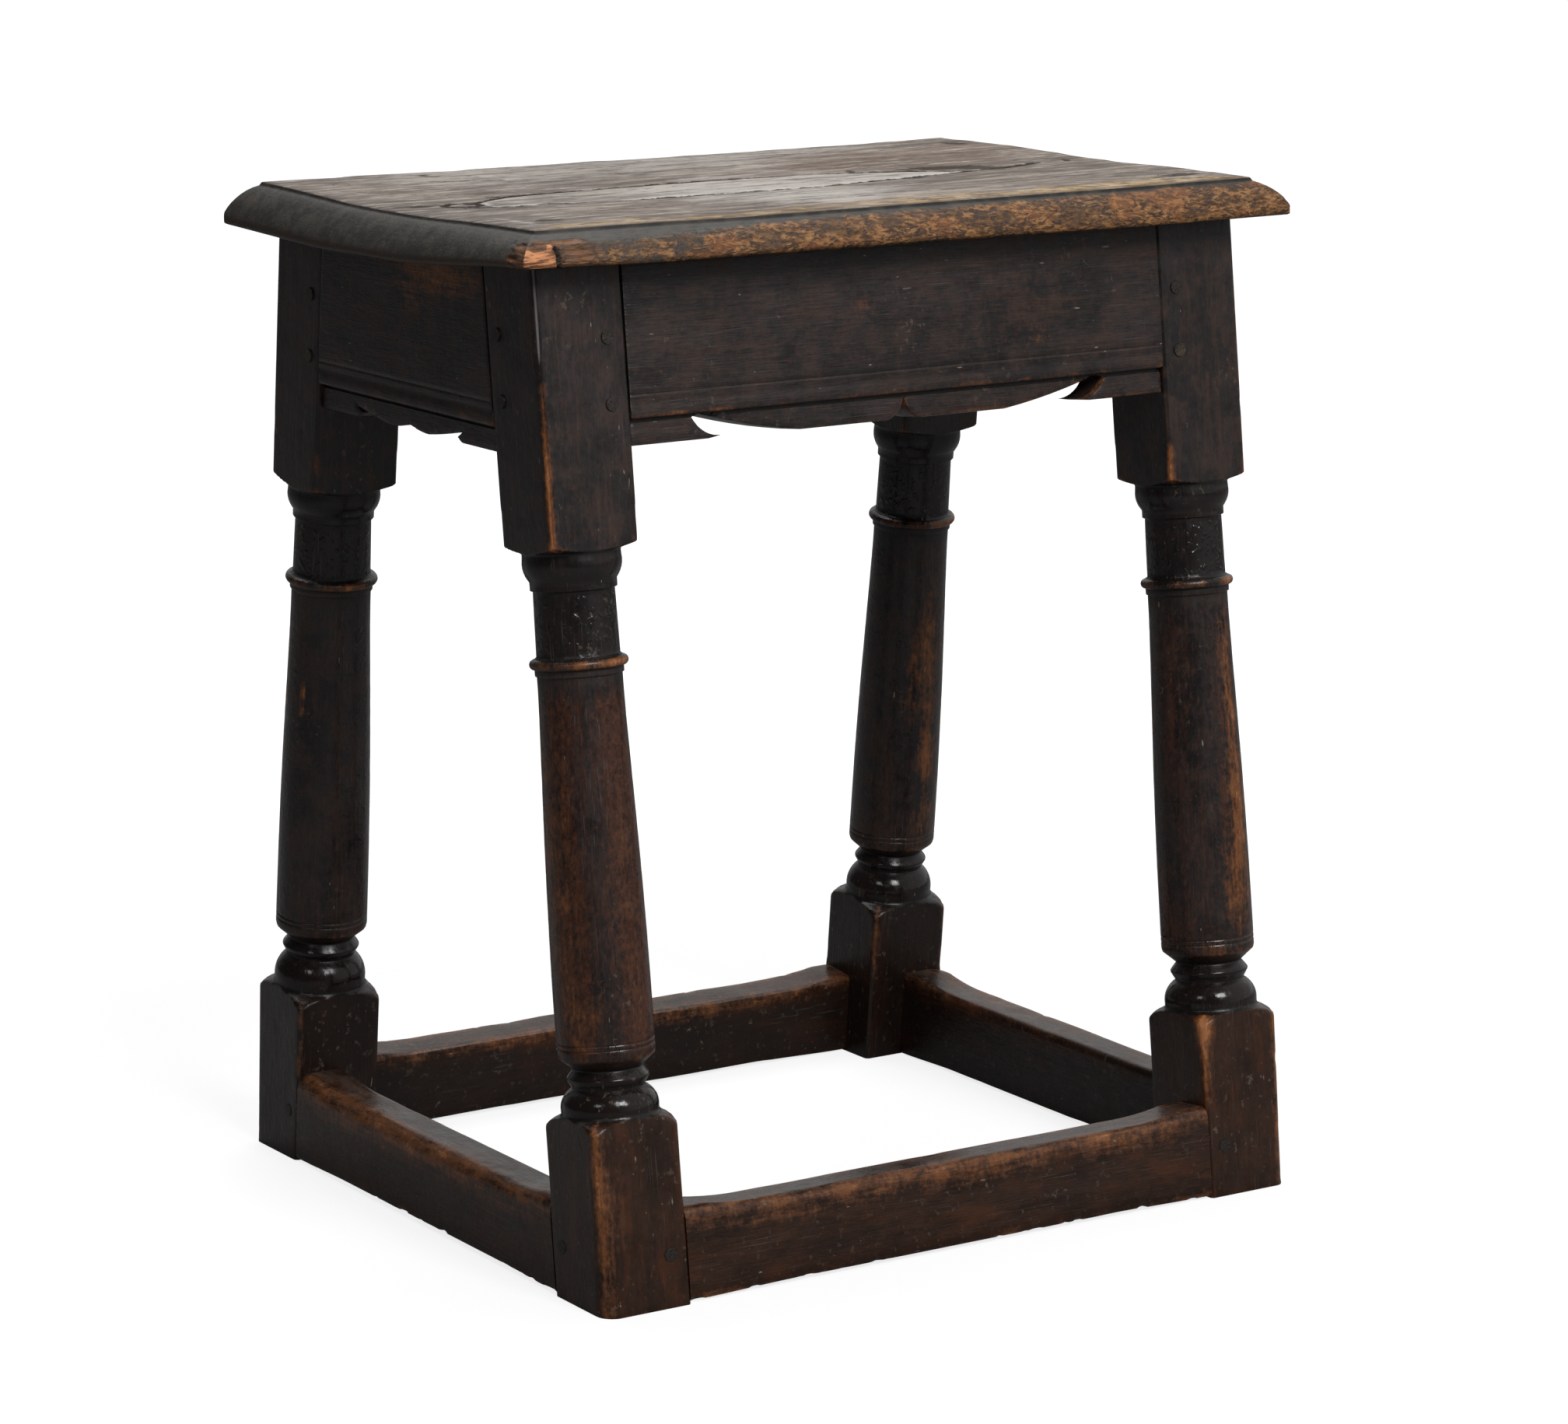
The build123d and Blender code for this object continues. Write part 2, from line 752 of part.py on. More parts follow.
def make_end_stretcher(end):
    """Left or right stretcher, upright, with shoulders that follow the splay."""
    face = end_plane(end)
    low_shoulder = inner_y + lean(stretcher_clear) - shoulder_gap / cos(splay)
    high_shoulder = inner_y + lean(stretcher_top) - shoulder_gap / cos(splay)
    with BuildPart() as stretcher:
        with BuildSketch(face):
            with BuildLine():
                stretcher_outline(
                    stretcher_clear - seat_z, stretcher_top - seat_z, low_shoulder, high_shoulder
                )
            make_face()
        extrude(amount=-stretcher_thickness)
        round_top(stretcher, face)

        add_end_tenons(end, stretcher_tenon_top, stretcher_tenon_bottom)
        for side in SIDES.values():
            bore_pegs(stretcher_peg_planes(end, side)[1], stretcher_peg_radius)
    return stretcher.part


for side_name, side in SIDES.items():
    stretcher = make_long_stretcher(side)
    stretcher.label = f"stretcher_{side_name}"
    export_step(stretcher, f"parts/{stretcher.label}.step")

for end_name, end in ENDS.items():
    stretcher = make_end_stretcher(end)
    stretcher.label = f"stretcher_{end_name}"
    export_step(stretcher, f"parts/{stretcher.label}.step")

# ---------------------------------------------------------------------------------------
# Pegs
# ---------------------------------------------------------------------------------------


def save_pegs(label, planes, radius, length, proud):
    """Writes the pegs of one rail, one stretcher or the board as a group."""
    pegs = make_pegs(planes, radius, length, proud)
    pegs.label = label
    export_step(pegs, f"parts/{label}.step")


rail_peg_sizes = (rail_peg_radius, peg_length, rail_peg_proud)
stretcher_peg_sizes = (stretcher_peg_radius, peg_length, stretcher_peg_proud)

for side_name, side in SIDES.items():
    rail_planes = [p for end in ENDS.values() for p in rail_peg_planes(end, side)[0]]
    stretcher_planes = [p for end in ENDS.values() for p in stretcher_peg_planes(end, side)[0]]
    save_pegs(f"rail_{side_name}_pegs", rail_planes, *rail_peg_sizes)
    save_pegs(f"stretcher_{side_name}_pegs", stretcher_planes, *stretcher_peg_sizes)

for end_name, end in ENDS.items():
    rail_planes = [p for side in SIDES.values() for p in rail_peg_planes(end, side)[1]]
    stretcher_planes = [p for side in SIDES.values() for p in stretcher_peg_planes(end, side)[1]]
    save_pegs(f"rail_{end_name}_pegs", rail_planes, *rail_peg_sizes)
    save_pegs(f"stretcher_{end_name}_pegs", stretcher_planes, *stretcher_peg_sizes)

board_planes = [board_peg_plane(end, side) for end in ENDS.values() for side in SIDES.values()]
save_pegs("top_pegs", board_planes, board_peg_radius, board_peg_length, board_peg_proud)
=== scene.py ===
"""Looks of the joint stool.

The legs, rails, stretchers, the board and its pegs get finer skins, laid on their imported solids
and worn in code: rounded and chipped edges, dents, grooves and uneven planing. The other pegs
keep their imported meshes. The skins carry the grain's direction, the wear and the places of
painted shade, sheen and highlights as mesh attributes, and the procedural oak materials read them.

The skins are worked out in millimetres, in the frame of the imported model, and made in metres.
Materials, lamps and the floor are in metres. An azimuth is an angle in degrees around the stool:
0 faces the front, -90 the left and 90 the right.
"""

from dataclasses import dataclass
import math
from types import SimpleNamespace

import bpy
import numpy as np
from mathutils import Matrix, Vector
from mathutils.bvhtree import BVHTree
from mathutils.geometry import delaunay_2d_cdt


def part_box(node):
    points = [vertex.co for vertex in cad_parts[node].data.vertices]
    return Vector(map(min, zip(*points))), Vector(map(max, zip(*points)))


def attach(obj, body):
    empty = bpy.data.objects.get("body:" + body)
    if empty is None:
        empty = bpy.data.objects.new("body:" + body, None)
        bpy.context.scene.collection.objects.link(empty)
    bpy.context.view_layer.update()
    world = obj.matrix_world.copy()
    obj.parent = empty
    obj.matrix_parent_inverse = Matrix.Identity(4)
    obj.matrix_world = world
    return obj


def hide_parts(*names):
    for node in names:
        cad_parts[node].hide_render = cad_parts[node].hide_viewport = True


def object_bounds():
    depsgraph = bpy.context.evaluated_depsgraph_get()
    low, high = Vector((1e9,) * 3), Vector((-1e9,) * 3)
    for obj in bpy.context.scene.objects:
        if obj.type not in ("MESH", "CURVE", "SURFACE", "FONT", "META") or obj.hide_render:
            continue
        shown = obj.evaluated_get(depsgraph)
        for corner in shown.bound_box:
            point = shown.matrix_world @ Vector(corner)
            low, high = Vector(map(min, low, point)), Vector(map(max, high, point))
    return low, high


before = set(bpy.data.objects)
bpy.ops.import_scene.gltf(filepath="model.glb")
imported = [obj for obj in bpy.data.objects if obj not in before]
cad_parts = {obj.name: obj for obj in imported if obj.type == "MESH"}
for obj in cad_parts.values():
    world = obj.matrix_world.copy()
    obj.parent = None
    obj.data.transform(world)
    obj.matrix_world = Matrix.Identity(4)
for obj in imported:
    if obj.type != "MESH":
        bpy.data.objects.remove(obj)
cad_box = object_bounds()

MM = 0.001
BOX_LOW, BOX_HIGH = [np.array(corner) / MM for corner in cad_box]

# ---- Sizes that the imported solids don't give ----

LEG_STOCK = 48.0
LEG_ARRIS = 2.6
RAIL_THICKNESS = 22.0
STRETCHER_THICKNESS = 26.0
PEG_RADIUS = 3.4
BOARD_PEG_RADIUS = 4.0
MOULDING_WIDTH = 15.5  # from the board's edge to its flat

FACE_STEP = 2.2  # spacing of the skins' vertices on broad faces
FINE_STEP = 1.2  # along edges and mouldings
CURVE_ERROR = 0.05  # how far a skin may leave a curved outline

UP = np.array([0, 0, 1.0])

# ---- Smooth random fields ----


def lattice(x, y, z, seed):
    """A fixed random value from 0 to 1 for each whole-numbered place."""
    mixed = (x * 374761393 + y * 668265263 + z * 1440662683 + seed * 1274126177) & 0xFFFFFFFF
    mixed = ((mixed ^ (mixed >> 13)) * 1274126177) & 0xFFFFFFFF
    return ((mixed ^ (mixed >> 16)) & 0xFFFF) / 65535.0


def noise(points, size, seed):
    """Smooth noise from -1 to 1 at (n, 3) points; size is the size of its patches, or one per axis."""
    scaled = points / np.asarray(size, float)
    corner = np.floor(scaled).astype(np.int64)
    part = scaled - corner
    part = part * part * (3 - 2 * part)
    total = 0.0
    for dx in (0, 1):
        for dy in (0, 1):
            for dz in (0, 1):
                weight = np.abs(1 - dx - part[:, 0]) * np.abs(1 - dy - part[:, 1])
                weight = weight * np.abs(1 - dz - part[:, 2])
                value = lattice(corner[:, 0] + dx, corner[:, 1] + dy, corner[:, 2] + dz, seed)
                total = total + weight * value
    return 2 * total - 1


def rough_noise(points, size, seed):
    """Noise with three layers of detail, about -1 to 1."""
    size = np.asarray(size, float)
    layers = noise(points, size, seed) + 0.5 * noise(points, size / 2, seed + 1)
    return (layers + 0.25 * noise(points, size / 4, seed + 2)) / 1.4


def smoothstep(low, high, value):
    part = np.clip((value - low) / (high - low), 0, 1)
    return part * part * (3 - 2 * part)


def bell(value, middle, width):
    """1 at the middle, falling off within about the width."""
    return np.exp(-(((value - middle) / width) ** 2))


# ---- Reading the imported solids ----


def node_vertices(node):
    """The node's vertices, in millimetres."""
    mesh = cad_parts[node].data
    flat = np.empty(len(mesh.vertices) * 3)
    mesh.vertices.foreach_get("co", flat)
    return flat.reshape(-1, 3) / MM


def node_box(node):
    return [np.array(corner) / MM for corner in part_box(node)]


def node_tree(node):
    """A ray-casting tree of the node, in millimetres."""
    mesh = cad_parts[node].data
    polygons = [list(polygon.vertices) for polygon in mesh.polygons]
    return BVHTree.FromPolygons(node_vertices(node).tolist(), polygons)


def cast(tree, origin, direction):
    """Distance from origin to the solid along direction, or None."""
    return tree.ray_cast(Vector(origin), Vector(direction))[3]


def simplify(points, error):
    """The points of an open line that it needs to stay within error of its course."""
    points = np.asarray(points, float)
    keep = np.zeros(len(points), bool)
    keep[[0, -1]] = True
    spans = [(0, len(points) - 1)]
    while spans:
        first, last = spans.pop()
        if last - first < 2:
            continue
        chord = points[last] - points[first]
        chord = chord / max(np.linalg.norm(chord), 1e-9)
        away = points[first + 1 : last] - points[first]
        off = np.abs(away[:, 0] * chord[1] - away[:, 1] * chord[0])
        if off.max() > error:
            middle = first + 1 + int(off.argmax())
            keep[middle] = True
            spans += [(first, middle), (middle, last)]
    return points[keep]


def subdivide(points, step, closed=False):
    """The same line with points no further apart than step."""
    points = np.asarray(points, float)
    ends = np.roll(points, -1, axis=0) if closed else points[1:]
    starts = points if closed else points[:-1]
    pieces = []
    for start, end in zip(starts, ends):
        count = max(1, math.ceil(np.linalg.norm(end - start) / step))
        pieces.append(start + (end - start) * np.linspace(0, 1, count, endpoint=False)[:, None])
    if not closed:
        pieces.append(points[-1:])
    return np.vstack(pieces)


def soften(values, width):
    """Running average of evenly spaced values, weighted by a bell curve of that width in samples."""
    reach = int(3 * width) + 1
    weights = np.exp(-0.5 * (np.arange(-reach, reach + 1) / width) ** 2)
    padded = np.pad(values, reach, mode="edge")
    return np.convolve(padded, weights / weights.sum(), mode="valid")


def smooth_line(value, line, width=9):
    """Height of a line of (places, heights) at each value, with its bends softened."""
    places = np.arange(line[0][0], line[0][-1] + 1.0)
    return np.interp(value, places, soften(np.interp(places, *line), width))


def line_distance(points, line):
    """Distance of each point from an open line, both in two dimensions."""
    best = np.full(len(points), 1e9)
    for start, end in zip(line, line[1:]):
        run = end - start
        share = np.clip((points - start) @ run / max(run @ run, 1e-9), 0, 1)
        best = np.minimum(best, np.linalg.norm(points - start - share[:, None] * run, axis=1))
    return best


def outline_distance(points, outline):
    """Distance of each point from a closed outline."""
    return line_distance(points, np.vstack([outline, outline[:1]]))


def unit(vector):
    vector = np.asarray(vector, float)
    return vector / np.linalg.norm(vector)


# ---- Pegs and the places around them ----


def peg_axes(node):
    """Mid-point, outward direction and half length of every peg of a node, in millimetres."""
    axes = []
    remaining = node_vertices(node)
    while len(remaining):
        near = np.linalg.norm(remaining - remaining[0], axis=1) < 55
        peg = remaining[near]
        remaining = remaining[~near]
        middle = (peg.max(0) + peg.min(0)) / 2
        direction = np.linalg.svd(peg - peg.mean(0), full_matrices=False)[2][0]
        outwards = UP if node == "top_pegs" else middle * [1, 1, 0]
        direction = direction * np.sign(direction @ outwards)
        half_length = np.max((peg - middle) @ direction)
        axes.append((middle, direction, half_length))
    return axes


PEG_NODES = sorted(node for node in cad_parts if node.endswith("_pegs"))
PEG_AXES = {node: peg_axes(node) for node in PEG_NODES}


def peg_offset(points):
    """For each point, the vector to it from the axis of the nearest peg."""
    best = np.full((len(points), 3), 1e3)
    for axes in PEG_AXES.values():
        for middle, direction, half_length in axes:
            away = points - middle
            along = away @ direction
            away = away - along[:, None] * direction
            nearer = np.linalg.norm(away, axis=1) < np.linalg.norm(best, axis=1)
            nearer = nearer & (np.abs(along - half_length) < 8)
            best[nearer] = away[nearer]
    return best


# ---- Making pieces ----

GRAIN_SHIFT = np.array([733.0, 91.0, 57.0])  # sets each piece's grain apart from the others'


def add_object(name, data):
    thing = bpy.data.objects.new(name, data)
    bpy.context.scene.collection.objects.link(thing)
    return thing


def make_piece(node, points, faces, fields, material, smooth_angle=38):
    """A skin that stands for a node; fields are vertex attributes by name, scalars or vectors."""
    points = np.clip(np.asarray(points, float), BOX_LOW, BOX_HIGH)
    mesh = bpy.data.meshes.new(node + "_skin")
    mesh.from_pydata((points * MM).tolist(), [], faces)
    mesh.validate()
    fields = dict(fields, peg=peg_offset(points))
    for name, values in fields.items():
        values = np.asarray(values, float)
        kind = "FLOAT" if values.ndim == 1 else "FLOAT_VECTOR"
        attribute = mesh.attributes.new(name, kind, "POINT")
        attribute.data.foreach_set("value" if values.ndim == 1 else "vector", values.ravel())
    mesh.shade_smooth()
    mesh.set_sharp_from_angle(angle=math.radians(smooth_angle))
    mesh.materials.append(material)
    piece = add_object(node + "_skin", mesh)
    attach(piece, "root")
    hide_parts(node)


def tube_faces(rings, around, first=0):
    """Quads of a closed tube whose vertices come ring by ring, and its two end caps."""
    index = first + np.arange(rings * around).reshape(rings, around)
    ahead = np.roll(index, -1, axis=1)
    quads = np.stack([index[:-1], ahead[:-1], ahead[1:], index[1:]], axis=-1).reshape(-1, 4)
    return quads.tolist() + [index[0, ::-1].tolist(), index[-1].tolist()]


# ---- Legs ----

PROFILE_STEP = 0.1
TURNING_SOFTNESS = 0.15  # how far the turning's edges are worn round
FOOT_SHOULDER_SOFTNESS = 2.2  # the same where the foot block ends
TOP_SHOULDER_SOFTNESS = 0.8  # and where the top block starts
SIDE_DIVISIONS = 18
ARRIS_DIVISIONS = 4
JOINT_ARRIS = 0.5  # where a rail or a stretcher joins

# places along a leg, from the floor
FOOT_BLOCK_END = 91.4
BUN_GROOVE = 107.0
SHAFT_START = 117.5
LIP = 124.2
ASTRAGAL = 311.5
NECK_START = 315.0
CUP_START = 344.0
TOP_BLOCK_START = 363.2
FOOT_ZONE = 88.0  # the slanted foot and top take up this much of the leg's two ends
TOP_ZONE = 132.0
ARRIS_HIGHLIGHT_ZONE = (440.0, 462.0)  # above this the arrises carry a painted grey highlight and are not rubbed brown


@dataclass
class LegMarks:
    """What one leg's turner and its long use have left on it."""

    foot_rounding: float  # of the foot's outer arris
    groove_shift: float  # how far the groove above the bun is off its usual height
    astragal_shift: float
    polish: float  # how far the shaft is rubbed from black to red-brown, 0 to 1
    arrises: tuple  # worn arrises: azimuth, lowest and highest place, strength
    rubs: tuple  # rubbed patches: azimuth, place, half width in degrees, half length, strength


LEG_MARKS = {
    "front_left": LegMarks(
        foot_rounding=9.0,
        groove_shift=-1.9,
        astragal_shift=-1.9,
        polish=1.0,
        arrises=((-45, -10, 93, 0.74), (-45, 360, 415, 1.08), (-45, 415, 448, 0.9),
                 (-45, 455, 520, 0.9), (45, 0, 91, 0.6)),
        rubs=((-84, 205, 34, 110, 0.62), (18, 200, 26, 120, 0.3), (-62, 145, 36, 30, 0.5),
              (-45, 50, 42, 55, 0.3)),
    ),
    "front_right": LegMarks(
        foot_rounding=6.5,
        groove_shift=-0.8,
        astragal_shift=0.4,
        polish=0.5,
        arrises=((-45, 40, 93, 1.2), (45, 0, 91, 1.15), (-45, 360, 420, 1.0), (45, 360, 500, 0.5)),
        rubs=((20, 262, 16, 45, 0.82), (22, 200, 20, 45, 0.95), (14, 160, 26, 32, 0.7),
              (-100, 140, 20, 40, 0.5), (-20, 124, 50, 5, 0.6), (-45, 84, 8, 9, 1.8)),
    ),
    "back_left": LegMarks(
        foot_rounding=7.0,
        groove_shift=1.6,
        astragal_shift=1.9,
        polish=0.12,
        arrises=((-45, 380, 440, 0.8), (-45, 40, 91, 0.45), (-135, 0, 60, 0.5)),
        rubs=((-65, 254, 5, 4.5, 1.3), (-65, 244, 5, 3.0, 1.2), (-110, 250, 14, 60, 0.35)),
    ),
    "back_right": LegMarks(
        foot_rounding=7.0,
        groove_shift=1.2,
        astragal_shift=-0.3,
        polish=0.3,
        arrises=((-45, 50, 91, 0.6), (45, 0, 91, 0.6)),
        rubs=((2, 240, 18, 40, 0.95), (10, 188, 16, 34, 0.85), (-22, 222, 12, 24, 0.6),
              (10, 145, 25, 25, 0.45)),
    ),
}


def section_directions():
    """Angles around a leg, evenly spread over its flat sides and closer at its arrises."""
    half = LEG_STOCK / 2
    flat = np.arctan(np.linspace(-(half - LEG_ARRIS), half - LEG_ARRIS, SIDE_DIVISIONS + 1) / half)
    corner = np.linspace(flat[-1], math.pi / 2 + flat[0], ARRIS_DIVISIONS + 1)[1:-1]
    quarter = np.concatenate([flat, corner])
    return np.concatenate([quarter + side * math.pi / 2 for side in range(4)])


def rounded_square(angle, half, arris):
    """Distance from the middle of a rounded square to its edge, and to its nearest corner."""
    folded = np.abs((angle + math.pi / 4) % (math.pi / 2) - math.pi / 4)
    centre = half - arris
    towards = centre * (np.cos(folded) + np.sin(folded))
    bend = towards + np.sqrt(np.maximum(towards**2 - 2 * centre**2 + arris**2, 0))
    flat = half / np.cos(folded)
    radius = np.where(np.tan(folded) * half < centre, flat, bend)
    return radius, half - radius * np.sin(folded)


def leg_axis(node):
    """Middle of the foot, direction of the leg and its length along that."""
    vertices = node_vertices(node)
    foot = vertices[vertices[:, 2] < 0.05]
    top = vertices[vertices[:, 2] > vertices[:, 2].max() - 0.05]
    start = (foot.max(0) + foot.min(0)) / 2
    end = (top.max(0) + top.min(0)) / 2
    return start, unit(end - start), np.linalg.norm(end - start)


def turned_profile(node, start, along, length, outwards):
    """Radius of the solid against distance along the leg, towards its outer corner."""
    tree = node_tree(node)
    stations = np.arange(0, length + PROFILE_STEP, PROFILE_STEP)
    radii = []
    for station in stations:
        place = start + along * np.clip(station, 8, length - 8)
        reach = cast(tree, place + outwards * LEG_STOCK, -outwards)
        radii.append(LEG_STOCK - reach)
    radii = np.array(radii)
    crisp = soften(radii, TURNING_SOFTNESS / PROFILE_STEP)
    foot = soften(radii, FOOT_SHOULDER_SOFTNESS / PROFILE_STEP) - crisp
    top = soften(radii, TOP_SHOULDER_SOFTNESS / PROFILE_STEP) - crisp
    foot = foot * bell(stations, FOOT_BLOCK_END - 3.5, 5.0)
    return stations, crisp + foot + top * bell(stations, TOP_BLOCK_START + 1.5, 2.5)


def azimuth_gap(azimuth, wanted):
    return (azimuth - wanted + 180) % 360 - 180


def worn_arris(marks, azimuth, ring):
    """Strength of the wear along the leg's arrises."""
    level = np.full(len(ring), 0.28)
    for wanted, low, high, strength in marks.arrises:
        along = smoothstep(low - 14, low + 6, ring) * smoothstep(high + 14, high - 6, ring)
        level = np.maximum(level, strength * along * bell(azimuth_gap(azimuth, wanted), 0, 24))
    return level


def rubbed(marks, azimuth, ring):
    """Strength of the rubbed patches."""
    total = np.zeros(len(ring))
    for wanted, place, half_width, half_length, strength in marks.rubs:
        spot = bell(azimuth_gap(azimuth, wanted), 0, half_width) * bell(ring, place, half_length)
        total = np.maximum(total, strength * spot)
    return total


class LegGrid:
    """The points of a leg's skin: rings around its axis, each point with its own values."""

    def __init__(self, node):
        self.marks = LEG_MARKS[node[4:]]
        self.start, self.along, self.length = leg_axis(node)
        self.side = 1 if self.start[1] > 0 else -1
        end = 1 if self.start[0] > 0 else -1
        across = np.array([1.0, 0, 0])
        self.through = np.cross(self.along, across)
        facing = self.side * np.sign(self.through[1])
        outwards = unit(end * across + facing * self.through)
        profile = turned_profile(node, self.start, self.along, self.length, outwards)
        self.stations, self.radii = profile

        line = simplify(np.stack(profile, axis=1), CURVE_ERROR)
        rings = subdivide(line, FACE_STEP)[:, 0]
        self.rings = rings[np.concatenate([[True], np.diff(rings) > 0.05])]
        self.rings[-1] = self.length
        self.angles = section_directions()
        grids = np.meshgrid(self.rings, self.angles, indexing="ij")
        self.ring, self.angle = [grid.ravel() for grid in grids]
        cosine, sine = np.cos(self.angle), np.sin(self.angle)
        self.spread = cosine[:, None] * across + sine[:, None] * self.through
        self.azimuth = np.degrees(np.arctan2(self.spread[:, 0], -self.spread[:, 1]))
        self.towards_out = cosine * end + sine * facing
        self.shape()

    def shape(self):
        """The section of square and turning at each point, with the foot's outer arrises worn round."""
        foot_wear = np.clip(1 - self.ring / FOOT_ZONE, 0, 1)
        outer = smoothstep(0.9, 1.35, self.towards_out)
        middling = smoothstep(0.2, 0.9, self.towards_out) * 0.35
        rounding = (self.marks.foot_rounding - LEG_ARRIS) * foot_wear
        arris = LEG_ARRIS + rounding * np.maximum(outer, middling)
        joined = smoothstep(50, 44, self.ring)
        joined = joined + smoothstep(TOP_BLOCK_START + 18, TOP_BLOCK_START + 26, self.ring)
        self.joined = joined * smoothstep(1.1, 0.8, self.towards_out)
        self.arris = arris - (arris - JOINT_ARRIS) * self.joined
        square, self.corner_gap = rounded_square(self.angle, LEG_STOCK / 2, self.arris)
        turned = np.interp(self.ring, self.stations, self.radii)
        self.radius = np.minimum(square, turned)
        self.in_block = smoothstep(LEG_STOCK / 2 + 0.6, LEG_STOCK / 2 + 2.6, turned)

        # the turner's heights differ from leg to leg, and the ends follow the floor and the board
        known = [0, FOOT_BLOCK_END, BUN_GROOVE, ASTRAGAL, TOP_BLOCK_START, self.length]
        shifts = [0, 0, self.marks.groove_shift, self.marks.astragal_shift, 0, 0]
        slant = np.maximum(1 - self.ring / FOOT_ZONE, 0)
        slant = slant + np.maximum(1 - (self.length - self.ring) / TOP_ZONE, 0)
        tilt = self.through[2] / self.along[2]
        slant_shift = -self.radius * np.sin(self.angle) * tilt * slant
        self.station = self.ring + np.interp(self.ring, known, shifts) + slant_shift

    def place(self, radius):
        """Points at that distance from the leg's axis."""
        return self.start + self.station[:, None] * self.along + radius[:, None] * self.spread

    def edge(self):
        """1 along the arrises of the two blocks, except at the joints."""
        width = 1.7 + 0.7 * smoothstep(FOOT_BLOCK_END + 5, FOOT_BLOCK_END - 5, self.ring)
        from_arris = np.clip(self.corner_gap - (1 - math.sqrt(0.5)) * self.arris, 0, None)
        return np.exp(-from_arris / width) * self.in_block * (1 - 0.85 * self.joined)


def worn_leg_points(leg, edge, arris_level, seed):
    """The leg's points with uneven faces, dents and chipped arrises."""
    points = leg.place(leg.radius)
    chips = smoothstep(0.15, 0.75, rough_noise(points, (7, 7, 13), seed + 10))
    dents = smoothstep(0.62, 0.95, noise(points, (9, 9, 14), seed + 20))
    lowered = 0.22 * noise(points, (60, 60, 90), seed + 30)
    lowered = lowered + 0.10 * noise(points, (11, 11, 40), seed + 40)
    lowered = np.minimum(lowered, 0.0) - 0.3 * dents * (0.4 + 0.6 * leg.in_block)
    lowered = lowered - edge * (0.1 + 0.4 * chips * (0.4 + arris_level) + 0.35 * arris_level)
    from_end = np.minimum(leg.ring, leg.length - leg.ring)
    lowered = lowered * smoothstep(0, 1.0, from_end + 0.4)
    points = leg.place(leg.radius + lowered)
    points[:, 2] = np.clip(points[:, 2], 0, None)
    points[leg.ring <= leg.rings[0] + 1e-6, 2] = 0
    return points


def leg_fields(leg, points, edge, arris_level, seed):
    """The leg's wear and painted shade: what stands out is rubbed bare, and the hollows are painted
    darker as shade.
    """
    marks, ring, in_block = leg.marks, leg.ring, leg.in_block
    crest = leg.radii - soften(leg.radii, 2.5 / PROFILE_STEP)
    crest = np.interp(ring, leg.stations, crest) * (1 - in_block)
    lop = bell(ring, TOP_BLOCK_START + 1.0, 3.2) * smoothstep(26.0, 31.0, leg.radius)
    bare = bell(ring, ASTRAGAL, 3.0) * 1.2 + bell(ring, LIP - 3.5, 3.0) * 0.8
    uneven = rough_noise(points, (14, 14, 30), seed)
    wear = edge * arris_level * (0.95 + 0.3 * uneven) + 0.5 * lop * (0.8 + 0.5 * uneven)
    handled = 0.4 + 0.6 * smoothstep(-60, 20, leg.azimuth) * marks.polish**0.3 + 0.5 * uneven
    wear = wear + bare * np.clip(crest, 0, 0.8) * np.clip(handled, 0, 1.2)
    in_shaft = smoothstep(SHAFT_START, LIP + 6, ring) * smoothstep(ASTRAGAL - 2, ASTRAGAL - 22, ring)
    wear = wear + rubbed(marks, leg.azimuth, ring) * np.maximum(in_shaft, 0.8 * in_block)
    # zone of the painted highlight along the upper arrises, in place of the rubbed brown
    arris_highlight = smoothstep(*ARRIS_HIGHLIGHT_ZONE, ring)
    wear = wear * (1 - 0.8 * arris_highlight)

    dark_stripe = bell(azimuth_gap(leg.azimuth, -28), 0, 17)
    small_turning = (1 - in_block) * (1 - smoothstep(SHAFT_START - 1, SHAFT_START + 1, ring))
    neck = (1 - in_block) * smoothstep(NECK_START - 4, NECK_START, ring)
    below_cup = smoothstep(CUP_START + 3, CUP_START - 3, ring)
    soot = (0.8 if leg.side > 0 else 0.0) * in_block * smoothstep(102, 92, ring)
    across, through = leg.radius * np.cos(leg.angle), leg.radius * np.sin(leg.angle)
    return {
        "grain": np.stack([leg.station, across, through], axis=1) + GRAIN_SHIFT * seed,
        "wear": np.clip(wear, 0, 1.6),
        # painted shade in the turning's hollows
        "recess": np.clip(-1.3 * crest, 0, 1),
        "polish": marks.polish * in_shaft * (1 - 0.75 * dark_stripe),
        "gloss": small_turning + 0.85 * neck + 0.55 * in_shaft,
        "black": small_turning + 0.8 * neck + soot,
        "arris_highlight": arris_highlight * edge**2.2 * arris_level,
        "crackle": 0.55 * neck * below_cup + 0.15 * in_shaft,
    }


def leg_skin(node, material, seed):
    leg = LegGrid(node)
    edge = leg.edge()
    arris_level = worn_arris(leg.marks, leg.azimuth, leg.ring)
    points = worn_leg_points(leg, edge, arris_level, seed)
    fields = leg_fields(leg, points, edge, arris_level, seed)
    make_piece(node, points, tube_faces(len(leg.rings), len(leg.angles)), fields, material)


# ---- Rails ----

RAIL_ROUNDING = 0.5  # of the rails' sharp edges
WALL_ROWS = 4
STRIP_EDGE = 72.0  # the shaped strip starts this far below the board
MOULDING_LEFT = 0.45  # share of the moulding's depth that wear has left
RAIL_RUBS = {  # rubbed patches: place along the rail, drop below the board, half sizes, strength
    "rail_left": ((34, 9, 44, 10, 0.95), (10, 26, 18, 8, 0.45)),
    "rail_front": ((-20, 30, 12, 8, 0.3), (80, 52, 14, 6, 0.35)),
}


